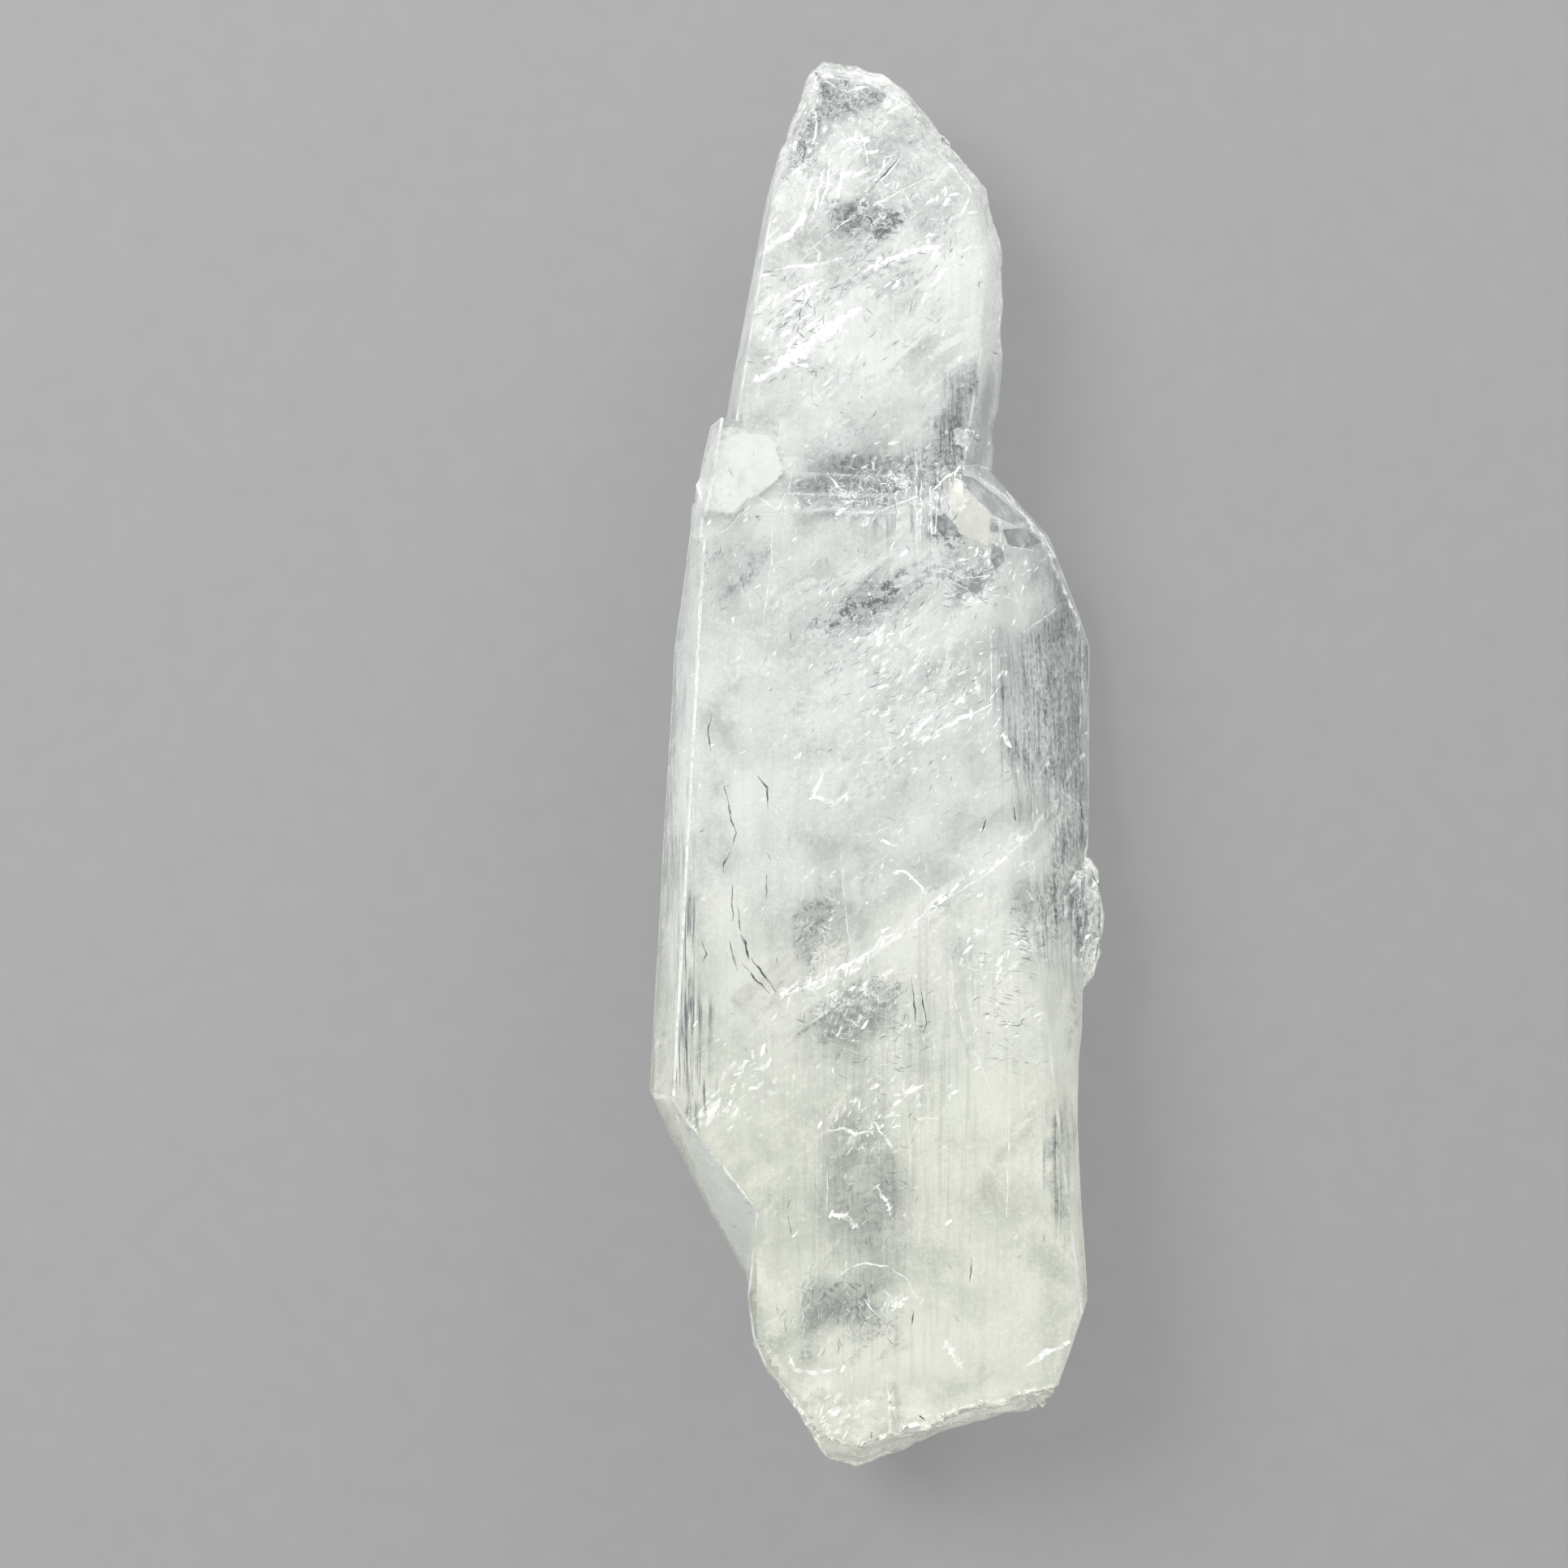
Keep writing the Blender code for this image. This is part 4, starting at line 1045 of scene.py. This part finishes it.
def inclusions_group():
    """The mask of the inclusions, and of the painted shade: soft milk, feathers and flakes along the
    fractures, and striae.
    """
    group = bpy.data.node_groups.new("inclusions", "ShaderNodeTree")
    for label, value in INCLUSION_INPUTS.items():
        socket = group.interface.new_socket(label, in_out="INPUT", socket_type="NodeSocketFloat")
        socket.default_value = value
    group.interface.new_socket("Mask", in_out="OUTPUT", socket_type="NodeSocketFloat")
    given = group.nodes.new("NodeGroupInput").outputs
    result = group.nodes.new("NodeGroupOutput")
    plain = millimetre_place(group)
    slanted = millimetre_place(group, radians(-SLANT), STREAK_STRETCH)
    lengthwise = millimetre_place(group, 0.0, LINE_STRETCH)
    cloud = noise_mask(group, plain, CLOUD, CLOUD_SPAN)
    grain = noise_mask(group, plain, SANDY, SANDY_SPAN)
    lines = noise_mask(group, lengthwise, LINES, LINES_SPAN)
    streaks = noise_node(group, slanted, *STREAKS)
    wisps = range_node(group, streaks, *WISP_SPAN)
    flakes = range_node(group, streaks, *FLAKE_SPAN)

    def times(first, second):
        return math_node(group, "MULTIPLY", first, second)

    def plus(first, second):
        return math_node(group, "ADD", first, second)

    body = plus(times(cloud, given["Cloud"]), times(grain, given["Grain"]))
    broken = plus(times(wisps, plus(grain, LEAST_GRAIN)), times(flakes, given["Flakes"]))
    streaked = plus(times(broken, given["Feather"]), times(lines, given["Striae"]))
    total = plus(times(body, given["Milk"]), streaked)
    fill(group, result, {"Mask": math_node(group, "MINIMUM", total, FULLEST)})
    return group


# Materials

# The skin: noises and spans, the light it absorbs, and the shares of rays it lets through
QUARTZ = (0.97, 0.985, 0.975, 1.0)
FROSTING, POLISH, DULLNESS = (1.5, 2.0, 0.7), (0.35, 0.75, 0.01, 0.07), (0.3, 0.7, 0.04, 0.26)
GROWTH_BUMPS, BUMP_STRENGTH, BUMP_DEPTH = (3.2, 3.0, 0.6), 0.5, 0.10
ABSORPTION = {"Color": (0.70, 0.78, 0.76, 1.0), "Density": 26.0}
OPEN_TO = [("Is Diffuse Ray", 0.90), ("Is Shadow Ray", 0.78)]

# Veils: colour toward the tip and toward the foot, painted glow, and the group's cloud, grain
# and flakes
VEILS = {
    "milky veil": (COOL_WHITE, WARM_WHITE, 0.09, 0.80, 0.15, 1.0),
    "surface haze": (COOL_WHITE, WARM_WHITE, 0.10, 0.75, 0.34, 1.0),
    "healed fracture": (COOL_WHITE, WARM_WHITE, 0.25, 0.80, 0.40, 1.0),
    "frosted crests": (COOL_WHITE, WARM_WHITE, 0.20, 0.60, 0.90, 1.0),
    # painted shade: dark streaks where the clear stone looks dark
    "shaded streaks": (SHADE, SHADE, 0.0, 0.46, 0.90, 0.10),
}
VEIL_ROUGHNESS = 0.7

# Marks: colour, painted glow, least and greatest cover, and how finely the cover changes
MARKS = {
    "white crack": (COOL_WHITE, 0.35, 0.15, 1.0, 1.4),
    "dark crack": ((0.08, 0.09, 0.09), 0.0, 0.45, 1.0, 1.4),
    "bright fleck": (COOL_WHITE, 0.40, 0.75, 1.0, 0.7),
    # painted highlight along the crests
    "edge highlight": (COOL_WHITE, 0.15, 0.08, 0.80, 0.6),
    "milky plate": (COOL_WHITE, 0.08, 0.15, 0.75, 0.5),
    "cream facet": ((0.80, 0.79, 0.715), 0.06, 0.70, 0.95, 0.9),
    "grey facet": ((0.40, 0.43, 0.45), 0.0, 0.0, 0.22, 0.8),
    "pale facet": ((0.84, 0.87, 0.87), 0.08, 0.35, 0.72, 0.6),
    # painted shade on the small facets at the shoulder
    "painted shade facet": ((0.30, 0.32, 0.32), 0.0, 0.30, 0.75, 0.9),
    "fine white crack": (COOL_WHITE, 0.25, 0.15, 0.80, 0.8),
    "grey crack": ((0.28, 0.30, 0.31), 0.0, 0.15, 0.80, 0.8),
    "faint panel": (COOL_WHITE, 0.08, 0.0, 0.40, 0.5),
}
MARK_ROUGHNESS = 0.35
COVER_DETAIL, COVER_SPAN = (3.0, 0.6), (0.34, 0.62)

FLOOR_GRAIN, FLOOR_TONES, FLOOR_ROUGHNESS = (0.6, 1.0, 0.5), (0.385, 0.41), 0.85


def new_material(name):
    material = bpy.data.materials.new(name)
    material.use_nodes = True
    tree = material.node_tree
    return material, tree, tree.nodes["Principled BSDF"]


def read_points(tree, name):
    node = new_node(tree, "Attribute", {})
    node.attribute_name = name
    return node.outputs["Fac"]


def let_through(tree, shader, rays, share):
    """For these rays the surface is plainly open, so that light reaches what is inside."""
    path = new_node(tree, "LightPath", {})
    clear = new_node(tree, "BsdfTransparent", {"Color": (share, share, share, 1.0)})
    mixed = new_node(tree, "MixShader", {0: path.outputs[rays], 1: shader, 2: clear.outputs[0]})
    return mixed.outputs[0]


def quartz_material():
    material, tree, shader = new_material("clear quartz")
    place = millimetre_place(tree)
    frost = noise_node(tree, place, *FROSTING)
    rough = range_node(tree, frost, *POLISH)
    rougher = range_node(tree, frost, *DULLNESS)
    dull = math_node(tree, "MULTIPLY", read_points(tree, "etched"), rougher)
    bump = new_node(tree, "Bump", {"Strength": BUMP_STRENGTH, "Distance": BUMP_DEPTH * MM,
                                   "Height": noise_node(tree, place, *GROWTH_BUMPS)})
    fill(tree, shader, {"Base Color": QUARTZ, "Metallic": 0.0, "Transmission Weight": 1.0,
                        "IOR": IOR_QUARTZ, "Normal": bump.outputs["Normal"],
                        "Roughness": math_node(tree, "ADD", rough, dull)})
    surface = shader.outputs[0]
    for rays, share in OPEN_TO:
        surface = let_through(tree, surface, rays, share)
    absorption = new_node(tree, "VolumeAbsorption", ABSORPTION)
    fill(tree, tree.nodes["Material Output"], {"Surface": surface,
                                               "Volume": absorption.outputs[0]})
    return material


def veil_material(name, upper, lower, glow, cloud, grain, flakes, group):
    """White inclusions, or painted shade where the colours are dark, on a sheet that is otherwise
    not there, warmer toward the foot.
    """
    material, tree, shader = new_material(name)
    whole = new_node(tree, "TexCoord", {}).outputs["Object"]
    place = new_node(tree, "SeparateXYZ", {0: whole})
    share = range_node(tree, place.outputs["Y"], WARM_BELOW * MM, COOL_ABOVE * MM)
    tint = mix_colours(tree, share, lower, upper)
    mask = tree.nodes.new("ShaderNodeGroup")
    mask.node_tree = group
    fill(tree, mask, {"Cloud": cloud, "Grain": grain, "Flakes": flakes})
    fill(tree, mask, {label: read_points(tree, label.lower())
                      for label in ("Milk", "Feather", "Striae")})
    fill(tree, shader, {"Base Color": tint, "Emission Color": tint, "Emission Strength": glow,
                        "Roughness": VEIL_ROUGHNESS, "Alpha": mask.outputs["Mask"]})
    return material


def mark_material(name, colour, glow, thinnest, thickest, scale):
    """A crack, patch or fleck, whose cover changes from place to place."""
    material, tree, shader = new_material(name)
    patchy = noise_node(tree, millimetre_place(tree), scale, *COVER_DETAIL)
    cover = range_node(tree, patchy, *COVER_SPAN, thinnest, thickest)
    fill(tree, shader, {"Base Color": (*colour, 1.0), "Emission Color": (*colour, 1.0),
                        "Emission Strength": glow, "Roughness": MARK_ROUGHNESS, "Alpha": cover})
    return material


def floor_material():
    material, tree, shader = new_material("pale floor")
    grain = noise_node(tree, millimetre_place(tree), *FLOOR_GRAIN)
    tone = mix_colours(tree, grain, *((tone,) * 3 for tone in FLOOR_TONES))
    fill(tree, shader, {"Base Color": tone, "Roughness": FLOOR_ROUGHNESS})
    return material


# The floor, the light and the camera

# Lamps: name, place, width, power
LAMPS = [
    ("key", (-420.0, 300.0, 520.0), 420.0, 3.9),
    ("back", (360.0, 540.0, 260.0), 360.0, 2.0),
]
SKY = {"Color": (0.635, 0.635, 0.63, 1.0), "Strength": 0.62}


def make_floor():
    reach, level = FLOOR_REACH, -FLOOR_GAP
    corners = [(-reach, -reach, level), (reach, -reach, level),
               (reach, reach, level), (-reach, reach, level)]
    piece_from("floor", corners, [(0, 1, 2, 3)], floor_material())


def make_light(name, place, width, power):
    lamp = bpy.data.lights.new(name, "AREA")
    lamp.shape = "DISK"
    lamp.size = width * MM
    lamp.energy = power
    light = bpy.data.objects.new(name, lamp)
    bpy.context.scene.collection.objects.link(light)
    light.location = Vector(place) * MM
    light.rotation_euler = (-Vector(place)).to_track_quat("-Z", "Y").to_euler()


def make_studio():
    make_floor()
    for lamp in LAMPS:
        make_light(*lamp)
    world = bpy.data.worlds.new("soft studio")
    world.use_nodes = True
    fill(world.node_tree, world.node_tree.nodes["Background"], SKY)
    scene = bpy.context.scene
    scene.world = world
    scene.view_settings.view_transform = "Standard"
    scene.cycles.max_bounces = 10
    scene.cycles.diffuse_bounces = 2
    scene.cycles.glossy_bounces = 3
    scene.cycles.transmission_bounces = 7
    scene.cycles.transparent_max_bounces = 40
    scene.cycles.caustics_reflective = False
    scene.cycles.caustics_refractive = False


def make_camera():
    lens = bpy.data.cameras.new("camera")
    lens.sensor_width = SENSOR
    lens.lens = VIEW_FOCUS / VIEW_SIDE * SENSOR
    lens.clip_start = CLIP_START
    camera = bpy.data.objects.new("camera", lens)
    camera.location = CAMERA_PLACE * MM
    bpy.context.scene.collection.objects.link(camera)
    bpy.context.scene.camera = camera


# The whole crystal

make_camera()
make_studio()

skin = make_skin(quartz_material())
inside = skin_tree(skin)

inclusions = inclusions_group()
finish = {name: veil_material(name, *values, inclusions) for name, values in VEILS.items()}
finish.update({name: mark_material(name, *values) for name, values in MARKS.items()})

make_milk_layers(inside, finish["milky veil"])
for name, *driving, veil in HAZES:
    make_haze(name, inside, *driving, finish[veil])
make_fractures(inside, finish["healed fracture"])
make_growth_sheets(inside, finish["milky veil"])
for name, cracks, widening, barbs, surface in CRACKS:
    make_cracks(name, inside, cracks, widening, barbs, finish[surface])
for name, surface, longest, outline in PATCHES:
    make_patch(name, inside, outline, longest, finish[surface])
make_flecks(inside, finish["bright fleck"])
# painted highlights along the crests
make_edge_highlights(finish["edge highlight"])
make_frost(skin, finish["frosted crests"])
